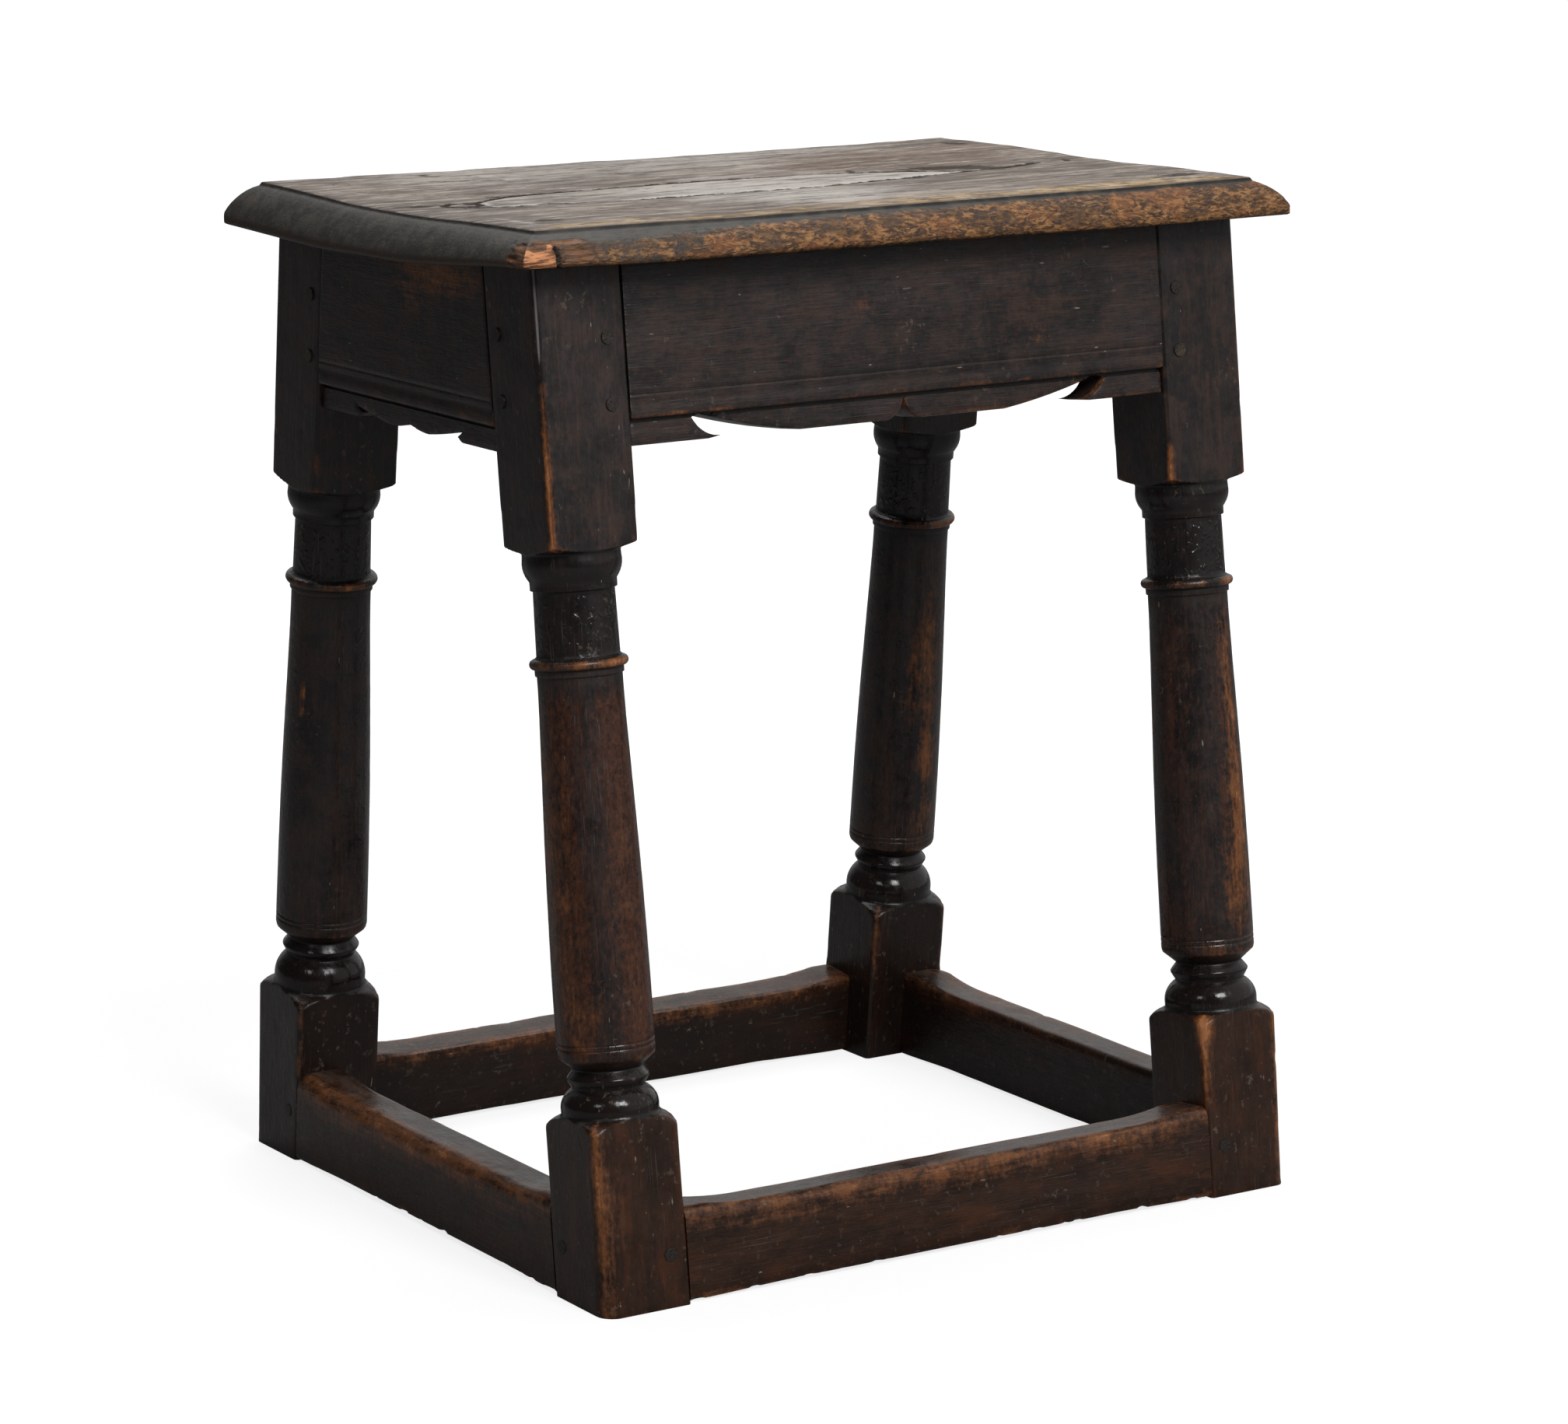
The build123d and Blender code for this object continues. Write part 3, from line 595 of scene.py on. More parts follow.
def rail_plane(node):
    """Point on the rail's outer face at the board, and its directions right, up and outwards."""
    low, high = node_box(node)
    where = node.split("_")[1]
    sign = 1 if where in ("right", "back") else -1
    if where in ("left", "right"):
        face_x = high[0] if sign > 0 else low[0]
        origin, right, up = np.array([face_x, 0, high[2]]), (0, sign, 0), (0, 0, 1)
    else:
        start, along, length = leg_axis(f"leg_{where}_left")
        outer = (start + along * length)[1] + sign * LEG_STOCK / 2 / along[2]
        origin, right, up = np.array([0, outer, high[2]]), (-sign, 0, 0), unit(along * [0, 1, 1])
    right, up = np.array(right, float), np.array(up, float)
    return origin, right, up, np.cross(right, up)


def inner_outline(node, origin, right, up, out):
    """The rail's outline, read off its flat inner face, as (right, up) points in order."""
    vertices = node_vertices(node)
    depth = -(vertices - origin) @ out
    flat = np.stack([(vertices - origin) @ right, (vertices - origin) @ up], axis=1)
    names = {}
    weld = np.array([names.setdefault((round(a, 2), round(b, 2)), len(names)) for a, b in flat])
    on_face = np.abs(depth - RAIL_THICKNESS) < 0.02
    uses = set()
    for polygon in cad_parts[node].data.polygons:
        corners = list(polygon.vertices)
        if on_face[corners].all():
            uses.update((weld[a], weld[b]) for a, b in zip(corners, corners[1:] + corners[:1]))
    border = {a: b for a, b in uses if (b, a) not in uses}
    chain = [next(iter(border))]
    while border[chain[-1]] != chain[0]:
        chain.append(border[chain[-1]])
    loop = np.array(list(names))[chain]
    area = np.sum(loop[:, 0] * np.roll(loop[:, 1], -1) - np.roll(loop[:, 0], -1) * loop[:, 1])
    return loop if area > 0 else loop[::-1]


def moulding_depths(node, origin, right, up, out, reach, lowest):
    """Depth of the rail's face below its outer plane, against distance down from the board."""
    tree = node_tree(node)
    drops = np.arange(0.3, lowest, 0.1)
    places = [origin + right * reach - up * drop + out * 10 for drop in drops]
    return drops, np.array([cast(tree, place, -out) - 10 for place in places])


def fill_outline(outline, columns, rows):
    """Triangles over an outline and over the grid points inside it; the outline comes first."""
    grid = np.stack([axis.ravel() for axis in np.meshgrid(columns, rows)], axis=1)
    grid = grid[outline_distance(grid, outline) > 0.45]
    offsets = []
    for start, end in zip(outline, np.roll(outline, -1, axis=0)):
        run = unit(end - start)
        inward = np.array([-run[1], run[0]])
        offsets += [(start + end) / 2 + inward * gap for gap in (0.18, 0.42)]
    offsets = np.array(offsets)
    offsets = offsets[outline_distance(offsets, outline) > 0.12]
    places = np.vstack([outline, offsets, grid])
    loop = list(range(len(outline)))
    solved = delaunay_2d_cdt([Vector(place) for place in places], [], [loop], 1, 1e-4)
    vertices = np.array([tuple(vertex) for vertex in solved[0]])
    origins = [source[0] if source else -1 for source in solved[3]]
    return vertices, [list(face) for face in solved[2]], np.array(origins)


def wall_and_back(front, triangles, rim, walls):
    """The rail's points and faces: its front, with the side walls and the inner face added.

    rim holds the front's points along the outline, and each wall is the outline further in.
    """
    rows = [rim] + [len(front) + row * len(rim) + np.arange(len(rim)) for row in range(len(walls))]
    faces = list(triangles)
    for near, far in zip(rows, rows[1:]):
        quads = np.stack([near, far, np.roll(far, -1), np.roll(near, -1)], axis=1)
        faces += quads.tolist()
    faces.append(rows[-1][::-1].tolist())
    return np.vstack([front] + walls), faces


def first_places(sources, count):
    """For each point of the outline, the first point of the filled outline that came from it."""
    order = np.full(count, -1)
    for index, source in enumerate(sources):
        if 0 <= source < count and order[source] < 0:
            order[source] = index
    return order


def rail_wear(node, front, flat, gap, shaped, crest, seed):
    """Wear of the rail's front: the shaped strip's edge is rubbed pale, more so to its right."""
    half = flat[:, 0].max()
    hand = smoothstep(-half, 0.3 * half, flat[:, 0]) * 0.42 + 0.22
    uneven = rough_noise(front, 12, seed + 3)
    wear = np.exp(-gap / 0.9) * shaped * hand * (0.9 + 0.8 * uneven)
    wear = wear + 0.5 * np.clip(crest, 0, 0.8) * (0.6 + uneven)
    for along, drop, half_length, half_height, strength in RAIL_RUBS.get(node, ()):
        spot = bell(flat[:, 0], along, half_length) * bell(-flat[:, 1], drop, half_height)
        wear = wear + strength * spot
    return np.clip(wear, 0, 1.3)


def rail_skin(node, material, seed):
    origin, right, up, out = rail_plane(node)
    long_rail = abs(right[0]) > 0.5
    outline = inner_outline(node, origin, right, up, out)
    half = outline[:, 0].max()
    lowest = -outline[:, 1].min()
    reach = half - 14 if long_rail else 22 - half
    drops, depths = moulding_depths(node, origin, right, up, out, reach, lowest - 0.3)
    depths = depths * np.where(drops < STRIP_EDGE - 1, MOULDING_LEFT, 1.0)
    outline[:, 1] = np.minimum(outline[:, 1], 0)
    outline = subdivide(outline, FINE_STEP, closed=True)

    profile = simplify(np.stack([drops, depths], axis=1), CURVE_ERROR)
    rows = -subdivide(profile, FACE_STEP)[:, 0]
    columns = np.arange(-half, half, FACE_STEP) + FACE_STEP / 2
    flat, triangles, sources = fill_outline(outline, columns, rows)
    gap = outline_distance(flat, outline)
    depth = np.interp(-flat[:, 1], drops, depths)

    def place(flat, depth):
        return origin + flat[:, :1] * right + flat[:, 1:] * up - depth[:, None] * out

    points = place(flat, depth)
    shaped = smoothstep(2 - STRIP_EDGE, -2 - STRIP_EDGE, flat[:, 1])
    round_off = np.clip(RAIL_ROUNDING * (0.7 + 0.9 * shaped) - gap, 0, None)
    chips = smoothstep(0.25, 0.8, rough_noise(points, 6, seed + 10)) * np.exp(-gap / 1.3)
    uneven = np.minimum(0.16 * noise(points, 70, seed) + 0.06 * noise(points, 16, seed + 1), 0)
    depth = depth + round_off**2 / RAIL_ROUNDING - uneven + 0.6 * chips * shaped
    front = place(flat, depth)

    rim = first_places(sources, len(outline))
    shares = np.arange(1, WALL_ROWS + 1) / WALL_ROWS
    walls = [place(outline, depth[rim] + (RAIL_THICKNESS - depth[rim]) * share) for share in shares]
    points, faces = wall_and_back(front, triangles, rim, walls)

    crest = np.interp(-flat[:, 1], drops, soften(depths, 20) - depths)
    wear, recess = np.zeros(len(points)), np.zeros(len(points))
    wear[: len(front)] = rail_wear(node, front, flat, gap, shaped, crest, seed)
    # painted shade in the moulding's hollows, and dark joint lines along the rail's edges
    shade_and_joints = 0.8 * np.clip(-crest, 0, 1) + 0.5 * np.exp(-gap / 0.7) * (1 - shaped)
    recess[: len(front)] = np.clip(shade_and_joints, 0, 1)
    local = points - origin
    fields = {
        "grain": np.stack([local @ right, local @ up, local @ out], axis=1) + GRAIN_SHIFT * seed,
        "wear": wear,
        "recess": recess,
        "polish": 0.35 * smoothstep(0.1, 0.8, noise(points, 60, seed + 5)),
    }
    make_piece(node, points, faces, fields, material)


# ---- Stretchers ----

STRETCHER_SIDE_DIVISIONS = 16
TREAD_ROUNDING = 9.0  # of the outer upper edge, by feet
INNER_ROUNDING = 3.0
MID_HEIGHT = 25.0  # the section is read off the solid around a line at this height
END_SAG = 1.3  # the stretchers' undersides are lower near the feet


def box_directions(width, height):
    """Directions from the middle of a box to points around it that include its corners."""
    across = np.linspace(-1, 1, STRETCHER_SIDE_DIVISIONS, endpoint=False)
    ones = np.ones(len(across))
    around = [(across, -ones), (ones, across), (-across, ones), (-ones, -across)]
    points = np.vstack([np.stack(side, axis=1) for side in around])
    return points * np.array([width, height]) / 2


def round_corner(points, side, from_face, from_top, radius):
    """Moves the points of an upper corner onto a quarter circle of that radius."""
    inside_face, inside_top = radius - from_face, radius - from_top
    reach = np.hypot(inside_face, inside_top)
    over = (inside_face > 0) & (inside_top > 0) & (reach > radius)
    pull = np.where(over, 1 - radius / np.maximum(reach, 1e-6), 0)
    points = points - (pull * inside_face)[:, None] * side
    points[:, 2] -= pull * inside_top
    return points


def stretcher_axes(node):
    """Directions along and across a stretcher, and the side of the stool that it is on."""
    where = node.split("_")[1]
    sign = 1 if where in ("back", "right") else -1
    along_x, along_y, _ = np.eye(3)
    return (along_x, along_y, sign) if where in ("front", "back") else (along_y, along_x, sign)


def stretcher_rings(node, run, side, sign):
    """Points around a stretcher, ring by ring, and each ring's place from -1 to 1 along it."""
    low, high = node_box(node)
    tree = node_tree(node)
    long_piece = run[0] > 0
    foot, along, _ = leg_axis("leg_front_left" if sign < 0 else "leg_back_right")
    lean = abs(along[1] / along[2])
    half_leg = LEG_STOCK / 2
    leg_y = abs(foot[1]) - MID_HEIGHT * lean
    if long_piece:
        face = leg_y + half_leg / along[2]
        ends = abs(foot[0]) - half_leg
    else:
        face = abs(foot[0]) + half_leg
        ends = leg_y - half_leg / along[2]
    middle = side * sign * (face - STRETCHER_THICKNESS / 2) + UP * MID_HEIGHT
    places = np.linspace(-1, 1, int(2 * ends / FACE_STEP))
    directions = box_directions(STRETCHER_THICKNESS, high[2] - low[2])
    points = []
    for place in places:
        station = place * (ends + 0.4)
        for flat in directions:
            direction = unit(side * flat[0] + UP * flat[1])
            safe = run * np.clip(station, 1 - ends + 12, ends - 12)
            reach = cast(tree, middle + safe, direction) or np.linalg.norm(flat)
            point = middle + run * station + direction * reach
            if not long_piece:
                point = point + run * place * (MID_HEIGHT - point[2]) * lean
            points.append(point)
    return np.array(points), places


def stretcher_skin(node, material, seed):
    low, high = node_box(node)
    run, side, sign = stretcher_axes(node)
    long_piece = run[0] > 0
    points, places = stretcher_rings(node, run, side, sign)
    around = len(points) // len(places)

    def per_ring(values, pick):
        return pick(values.reshape(len(places), -1), axis=1).repeat(around)

    centre = points.reshape(len(places), -1, 3).mean(axis=1).repeat(around, axis=0)
    inward = centre - points
    inward = inward / np.linalg.norm(inward, axis=1)[:, None]
    from_top = per_ring(points[:, 2], np.max) - points[:, 2]
    outer = sign * (points @ side)
    from_face = per_ring(outer, np.max) - outer
    from_back = outer - per_ring(outer, np.min)
    tread = TREAD_ROUNDING * (0.85 + 0.3 * noise(points, 60, seed + 7))
    points = round_corner(points, sign * side, from_face, from_top, tread)
    points = round_corner(points, -sign * side, from_back, from_top, INNER_ROUNDING)

    near_end = smoothstep(0.6, 1.0, np.abs(places)).repeat(around)
    points[:, 2] -= END_SAG * near_end * smoothstep(high[2], low[2], points[:, 2])
    upper_edge = bell(from_top + from_face, 4, 10)
    bottom_edge = np.exp(-(points[:, 2] - low[2]) / 2.5) * np.exp(-from_face / 3)
    chips = smoothstep(0.2, 0.85, rough_noise(points, 8, seed + 10))
    uneven = 0.35 * noise(points, 45, seed) + 0.25 * noise(points, 14, seed + 1)
    push = np.clip(uneven, 0, None) + upper_edge * 0.6 * chips + bottom_edge * (0.5 + 1.4 * chips)
    points = points + inward * push[:, None]

    # the end stretchers and the inside edges are trodden less; the far ones keep their black
    blotches = rough_noise(points, (30, 14, 14), seed + 2)
    inner_edge = bell(from_top + from_back, 2, 8)
    inner_wear = inner_edge * (0.6 + 0.35 * blotches) * (1.0 if long_piece else 0.45)
    wear = upper_edge * (0.78 + 0.35 * blotches) + inner_wear
    wear = wear + bottom_edge * (0.35 + 0.7 * rough_noise(points, 7, seed + 3))
    fields = {
        "grain": np.stack([points @ run, points @ side, points @ UP], axis=1) + GRAIN_SHIFT * seed,
        "wear": np.clip(wear, 0, 1.3),
        # grey on the stretchers' tops: dust, and a painted grey sheen
        "dust_and_sheen": np.exp(-from_top / 3.0) * smoothstep(3, 12, from_face) * smoothstep(2, 8, from_back),
        "polish": 0.5 * smoothstep(0.0, 0.8, noise(points, 70, seed + 5)),
        "black": (0.75 if sign > 0 else 0.0) * smoothstep(6, 14, from_top),
    }
    faces = tube_faces(len(places), around)
    if not long_piece:
        faces = [face[::-1] for face in faces]
    make_piece(node, points, faces, fields, material)


# ---- Board ----

BOARD_STEP = 1.5
EDGE_CENTRE_INSET = 19.0  # from here the edge's section is read off the solid

# How far the board's top is worn, warped and cupped below its packed height. Each line runs
# along one edge of the flat, as places along that edge and drops.
WORN_BACK = ((-207, -150, -100, 0, 75, 125, 175, 207), (0.6, 1.0, 1.6, 1.7, 2.0, 2.0, 1.9, 1.5))
WORN_FRONT = ((-207, -150, -90, 30, 130, 207), (0.1, 0.1, 0.8, 0.5, 0.5, 0.0))
WORN_LEFT = ((-138, -111, -74, -36, 3, 43, 84, 119, 138), (0.1, 0.6, 1.5, 3.0, 3.5, 3.4, 1.8, 0.8, 0.6))
WORN_RIGHT = (
    (-138, -105, -75, -45, -15, 30, 60, 90, 138),
    (0.0, 0.1, 0.3, 1.1, 1.5, 1.0, 0.5, 0.4, 1.5),
)

# How far the moulding's lower edge hangs below its packed height, along each edge.
HANG_FRONT = ((-223, -205, -150, -90, 30, 130, 223), (-3.4, -3.3, -1.8, -2.0, -1.6, -0.6, -0.9))
HANG_LEFT = (
    (-154, -138, -113, -90, -33, 3, 47, 117, 154),
    (-3.4, -3.3, -1.4, 0.8, 4.7, 5.0, 6.0, 4.0, 2.9),
)
HANG_BACK = ((-223, -120, 223), (2.9, 0.0, 0.0))
HANG_RIGHT = ((-154, -80, 154), (-0.9, 0.0, 0.0))

# Softer early wood has worn away in two curves that enclose a lens of harder wood. The curves'
# darkness is painted shade in their grooves, and the lens's paleness is a painted sheen. These
# lines and patches are places on the board, seen from above.
SEAM_DEPTH = 1.1
UPPER_SEAM = (
    (-163, 4), (-155, 9), (-145, 15), (-135, 21), (-121, 26), (-106, 28), (-78, 30),
    (-46, 29), (-19, 28), (9, 26), (50, 21), (77, 14), (99, 3), (112, -6), (124, -13),
)
LOWER_SEAM = (
    (-172, -12), (-150, -19), (-130, -18), (-104, -22), (-79, -25), (-35, -28), (14, -31),
    (52, -26), (80, -21), (99, -18), (119, -15), (129, -13), (142, -11), (155, -9), (171, -3),
)
LENS_LEFT, LENS_RIGHT = -160, 124
KNOT = (-168, 1.5)  # a seam runs around it too
KNOT_RADIUS = 8.7
GOUGES = (  # short scored lines, from end to end
    ((-134, 97), (-98, 87)),
    ((-126, 127), (-119, 117)),
    ((190, -6), (193, 2)),
    ((75, 27), (71, 20)),
    ((-200, 12), (-188, 14)),
)
STAINS = (  # dark stains and peg ends: place, half sizes, strength
    ((122, 7), (17, 8), 0.85),
    ((108, 14), (13, 5), 0.7),
    ((134, -2), (12, 6), 0.9),
    ((142, -10), (9, 4.5), 1.1),
    ((81, -22), (7, 3.5), 0.85),
    ((-136, 28), (4, 4), 0.8),
    ((-127, -15), (4.5, 3.5), 0.6),
    ((-187, 10), (6, 5), 1.0),
    ((-176, -97), (8, 5), 1.05),
    ((186, -108), (10, 5), 1.05),
    ((170, -111), (5, 3), 0.5),
    ((192, 103), (5, 9), 0.75),
    ((-30, 80), (12, 5), 0.3),
    ((93, 109), (9, 5), 0.4),
    ((-122, 122), (4, 7), 0.5),
    ((86, 46), (8, 5), 0.35),
    ((-104, -62), (30, 12), 0.25),
)
# painted sheen and highlights on the flat, laid on as pale patches
SHEEN_PATCHES = (  # as the stains
    ((-14, -62), (62, 40), 0.75),
    ((-10, -74), (26, 40), 0.95),
    ((0, 38), (26, 7), 0.55),
    ((118, 118), (16, 12), 0.35),
    ((-192, -96), (3, 18), 0.7),
)
BROWN_PATCHES = (((130, 62), (85, 48), 0.75), ((-112, -66), (42, 22), 0.4))


def board_section(node):
    """The moulded edge as (inset from the board's edge, height), and the inset of the flat.

    It runs from the rim of the flat to the underside.
    """
    low, high = node_box(node)
    tree = node_tree(node)
    centre = np.array([0, low[1] + EDGE_CENTRE_INSET, (low[2] + high[2]) / 2])
    samples = []
    for turn in np.linspace(0, math.pi, 721):
        direction = np.array([0, -math.sin(turn), math.cos(turn)])
        place = centre + direction * cast(tree, centre, direction)
        samples.append((place[1] - low[1], place[2]))
    section = simplify(samples, CURVE_ERROR / 2)
    flat_inset = section[np.argmax(section[:, 1] < high[2] - 0.3) - 1, 0]
    section = section[section[:, 0] <= flat_inset + 1e-6]
    section = section[np.argmax(section[:, 0] > flat_inset - 0.01) :]
    return subdivide(section, FINE_STEP), flat_inset


def worn_height(x, y, half_x, half_y):
    """Drop of the board's top, spread smoothly between its four edges."""
    u = np.clip((x / half_x + 1) / 2, 0, 1)
    v = np.clip((y / half_y + 1) / 2, 0, 1)
    front, back = smooth_line(x, WORN_FRONT), smooth_line(x, WORN_BACK)
    left, right = smooth_line(y, WORN_LEFT), smooth_line(y, WORN_RIGHT)
    corners = (1 - v) * ((1 - u) * WORN_FRONT[1][0] + u * WORN_FRONT[1][-1])
    corners = corners + v * ((1 - u) * WORN_BACK[1][0] + u * WORN_BACK[1][-1])
    return np.clip((1 - v) * front + v * back + (1 - u) * left + u * right - corners, 0, None)


def patches(flat, entries):
    """Strength of a set of soft-edged oval patches."""
    total = np.zeros(len(flat))
    for place, sizes, strength in entries:
        away = np.linalg.norm((flat - place) / np.array(sizes, float), axis=1)
        total = np.maximum(total, strength * smoothstep(1.5, 0.5, away))
    return total


def board_figure(points, seed):
    """The marks of the board's flat, as attributes, and how deep they are worn in."""
    wander = np.stack([rough_noise(points, (24, 12, 24), seed + k) for k in (20, 30)], axis=1)
    flat = points[:, :2] + wander * 1.3
    upper = line_distance(flat, np.array(UPPER_SEAM, float))
    lower = line_distance(flat, np.array(LOWER_SEAM, float))
    from_knot = np.linalg.norm(flat - KNOT, axis=1)
    seam = np.minimum(np.minimum(upper, lower), np.abs(from_knot - KNOT_RADIUS))
    x, y = flat.T
    from_upper = np.interp(x, *np.array(UPPER_SEAM, float).T) - y
    from_lower = y - np.interp(x, *np.array(LOWER_SEAM, float).T)
    inside = np.min([from_upper, from_lower, x - LENS_LEFT, LENS_RIGHT - x], axis=0)
    gouge = np.min([line_distance(flat, np.array(line, float)) for line in GOUGES], axis=0)
    # the seams fade where the wood is sound
    strength = 0.74 + 0.45 * rough_noise(points, (34, 34, 34), seed + 40)
    sound = 0.6 * (y > 0) * np.maximum(bell(x, -68, 34), bell(x, 50, 22))
    sound = sound + 0.5 * (y < 0) * bell(x, -105, 26)
    strength = strength * (1 - sound) + 0.5 * bell(from_knot, 0, 14)
    valley = np.clip(strength, 0, 1) * bell(seam, 0, 1.8)
    # painted sheen over the lens, fading towards its left, and a painted highlight just inside the
    # lower seam
    lens = smoothstep(-1, 9, inside) * (0.3 + 0.6 * smoothstep(-125, -30, x))
    lower_seam_highlight = smoothstep(16, 4, lower) * (inside > 0) * smoothstep(-110, -60, x) * 0.95
    fields = {
        "seam": seam,
        "seam_strength": np.clip(strength, 0.15, 1),
        "inside": np.clip(inside, -25, 25),
        "gouge": gouge,
        "stain": patches(flat, STAINS),
        # pale carries the painted sheen and highlights, not paler wood
        "pale": np.maximum(patches(flat, SHEEN_PATCHES), np.maximum(lens, lower_seam_highlight)),
        "brown": patches(flat, BROWN_PATCHES),
        # darker towards the left, and a painted sheen, paler, towards the back
        "left_dark_back_sheen": 0.9 * smoothstep(-110, -200, x) - smoothstep(20, 125, y) * smoothstep(210, 60, x),
    }
    return fields, SEAM_DEPTH * valley + 0.8 * bell(gouge, 0, 1.4) + 0.45 * patches(flat, STAINS)


def board_mesh(high, section, flat_inset):
    """Points, faces and way down the moulding of the board before it is worn."""
    half_x, half_y = high[0], high[1]
    columns = np.linspace(-1, 1, int(2 * half_x / BOARD_STEP) + 1)
    rows = np.linspace(-1, 1, int(2 * half_y / BOARD_STEP) + 1)
    nx, ny = len(columns), len(rows)
    field_x, field_y = half_x - flat_inset, half_y - flat_inset
    grid_x, grid_y = np.meshgrid(columns * field_x, rows * field_y, indexing="ij")
    field = np.stack([grid_x.ravel(), grid_y.ravel(), np.full(nx * ny, high[2])], axis=1)
    index = np.arange(nx * ny).reshape(nx, ny)
    quads = [index[:-1, :-1], index[1:, :-1], index[1:, 1:], index[:-1, 1:]]
    faces = np.stack(quads, axis=-1).reshape(-1, 4).tolist()

    rim = np.concatenate([index[:-1, 0], index[-1, :-1], index[:0:-1, -1], index[0, :0:-1]])
    around = len(rim)
    shares = field[rim, :2] / [field_x, field_y]
    loops = []
    for inset, height in section[1:]:
        loop = shares * [half_x - inset, half_y - inset]
        loops.append(np.column_stack([loop, np.full(around, height)]))
    loop_index = [rim] + [len(field) + k * around + np.arange(around) for k in range(len(loops))]
    for inner, outer in zip(loop_index, loop_index[1:]):
        quads = np.stack([inner, outer, np.roll(outer, -1), np.roll(inner, -1)], axis=1)
        faces += quads.tolist()
    faces.append(loop_index[-1][::-1].tolist())
    travel = np.concatenate([[0], np.cumsum(np.linalg.norm(np.diff(section, axis=0), axis=1))])
    down = [np.zeros(len(field))] + [np.full(around, way) for way in travel[1:]]
    return np.vstack([field] + loops), faces, np.concatenate(down)


CORNER_ROUNDING = 2.2
SPLIT = 20.5  # distance of the split in the broken front left corner from the board's end
# Places along the front, and how far down the moulding its bare wood starts there.
BARE_FROM = ((-223, -190, -165, -120, -60, 60, 223), (6, 7, 10, 6, 3, 1.5, 0))


class BoardGrid:
    """The points of the board's skin before they are worn, each with its own values."""

    def __init__(self, node):
        self.low, self.high = node_box(node)
        section, self.flat_inset = board_section(node)
        self.points, self.faces, self.down = board_mesh(self.high, section, self.flat_inset)
        self.half_x, self.half_y = self.high[0], self.high[1]
        self.x, self.y = self.points[:, 0], self.points[:, 1]
        self.gap_x, self.gap_y = self.half_x - np.abs(self.x), self.half_y - np.abs(self.y)
        self.inset = np.minimum(self.gap_x, self.gap_y)
        self.from_rim = self.inset - self.flat_inset
        self.on_edge = self.down > 0

        # how far each point belongs to the front, left, back and right edge
        along_x = smoothstep(-2, 2, self.gap_x - self.gap_y)
        in_front, at_right = self.y < 0, self.x > 0
        self.front, self.back = along_x * in_front, along_x * ~in_front
        self.left, self.right = (1 - along_x) * ~at_right, (1 - along_x) * at_right
        self.on_front, self.on_left = self.front * self.on_edge, self.left * self.on_edge


def lowered_board(board, figure_depth, seed):
    """The points with the flat worn, warped and split, and its rim rolled over into the moulding."""
    points, x, y = board.points.copy(), board.x, board.y
    worn = worn_height(x, y, board.half_x - board.flat_inset, board.half_y - board.flat_inset)
    waves = 0.12 * noise(points, (90, 55, 90), seed) + 0.10 * noise(points, (60, 8, 60), seed + 1)
    fine = 0.06 * noise(points, (26, 3.2, 26), seed + 2)
    depth = np.where(board.on_edge, 0, figure_depth + 0.2 + waves + fine)
    depth = depth * smoothstep(0, 4, board.from_rim + 0.5)
    rolled = 0.4 * smoothstep(4, 0, board.from_rim) * (1 + 0.6 * noise(points, 14, seed + 3))
    rolled = np.where(board.on_edge, 0, rolled)
    share = (points[:, 2] - board.low[2]) / (board.high[2] - board.low[2])
    hang = board.front * smooth_line(x, HANG_FRONT) + board.left * smooth_line(y, HANG_LEFT)
    hang = hang + board.back * smooth_line(x, HANG_BACK) + board.right * smooth_line(y, HANG_RIGHT)
    hang = hang * board.on_edge * smoothstep(board.flat_inset, 4, board.inset)
    points[:, 2] -= np.clip(worn + depth + rolled, 0, None) * share + hang * (1 - share)
    return points


def round_board_corners(board, points):
    """Moves the points outside a small quarter circle at each corner onto it."""
    corner_gap = CORNER_ROUNDING - np.stack([board.gap_x, board.gap_y], axis=1)
    reach = np.linalg.norm(corner_gap, axis=1)
    over = (corner_gap > 0).all(axis=1) & (reach > CORNER_ROUNDING)
    pull = np.where(over, 1 - CORNER_ROUNDING / np.maximum(reach, 1e-6), 0)
    points[:, :2] -= np.sign(points[:, :2]) * corner_gap * pull[:, None]


def break_board_edge(board, points, seed):
    """Chips the front, breaks its left corner off in fibres along a split, and returns the marks."""
    down, from_left = board.down, board.half_x + board.x
    narrow = np.stack([board.gap_x < board.flat_inset, board.gap_y < board.flat_inset], axis=1)
    outward = np.sign(points[:, :2]) * narrow
    way = down / down.max()
    nose = smoothstep(0.12, 0.3, way) * smoothstep(1.0, 0.9, way)
    chips = smoothstep(0.05, 0.8, rough_noise(points, (9, 7, 4), seed + 4))
    pits = smoothstep(0.3, 0.9, noise(points, (3.5, 4, 2.6), seed + 5))
    dents = 0.6 * smoothstep(0.7, 0.95, noise(points, (9, 9, 5), seed + 8)) * board.on_left
    bite = nose * (0.08 + board.on_front * (0.45 * chips + 0.35 * pits) + dents)

    ragged = 3 * noise(points, 5, seed + 9)
    low_part = smoothstep(7, 11, down + ragged) * smoothstep(36, 33, down)
    corner = board.on_front * smoothstep(48, 34, from_left + ragged)
    corner = corner + board.on_left * smoothstep(22, 10, board.half_y + board.y + ragged)
    corner = corner * low_part
    split = board.on_front * low_part * smoothstep(12, 16, down) * bell(from_left, SPLIT, 1.1)
    fibres = smoothstep(-0.3, 0.6, rough_noise(points, (14, 9, 1.8), seed + 6))
    bite = bite + corner * (0.3 + 1.2 * fibres) + 2.2 * split
    points[:, :2] -= outward * bite[:, None]
    block = board.on_front * (from_left < SPLIT - 1)
    raw = corner * block * smoothstep(13.5, 16.5, down + 1.4 * ragged)
    return {"corner": corner, "raw": raw, "split": split, "chips": chips * nose}


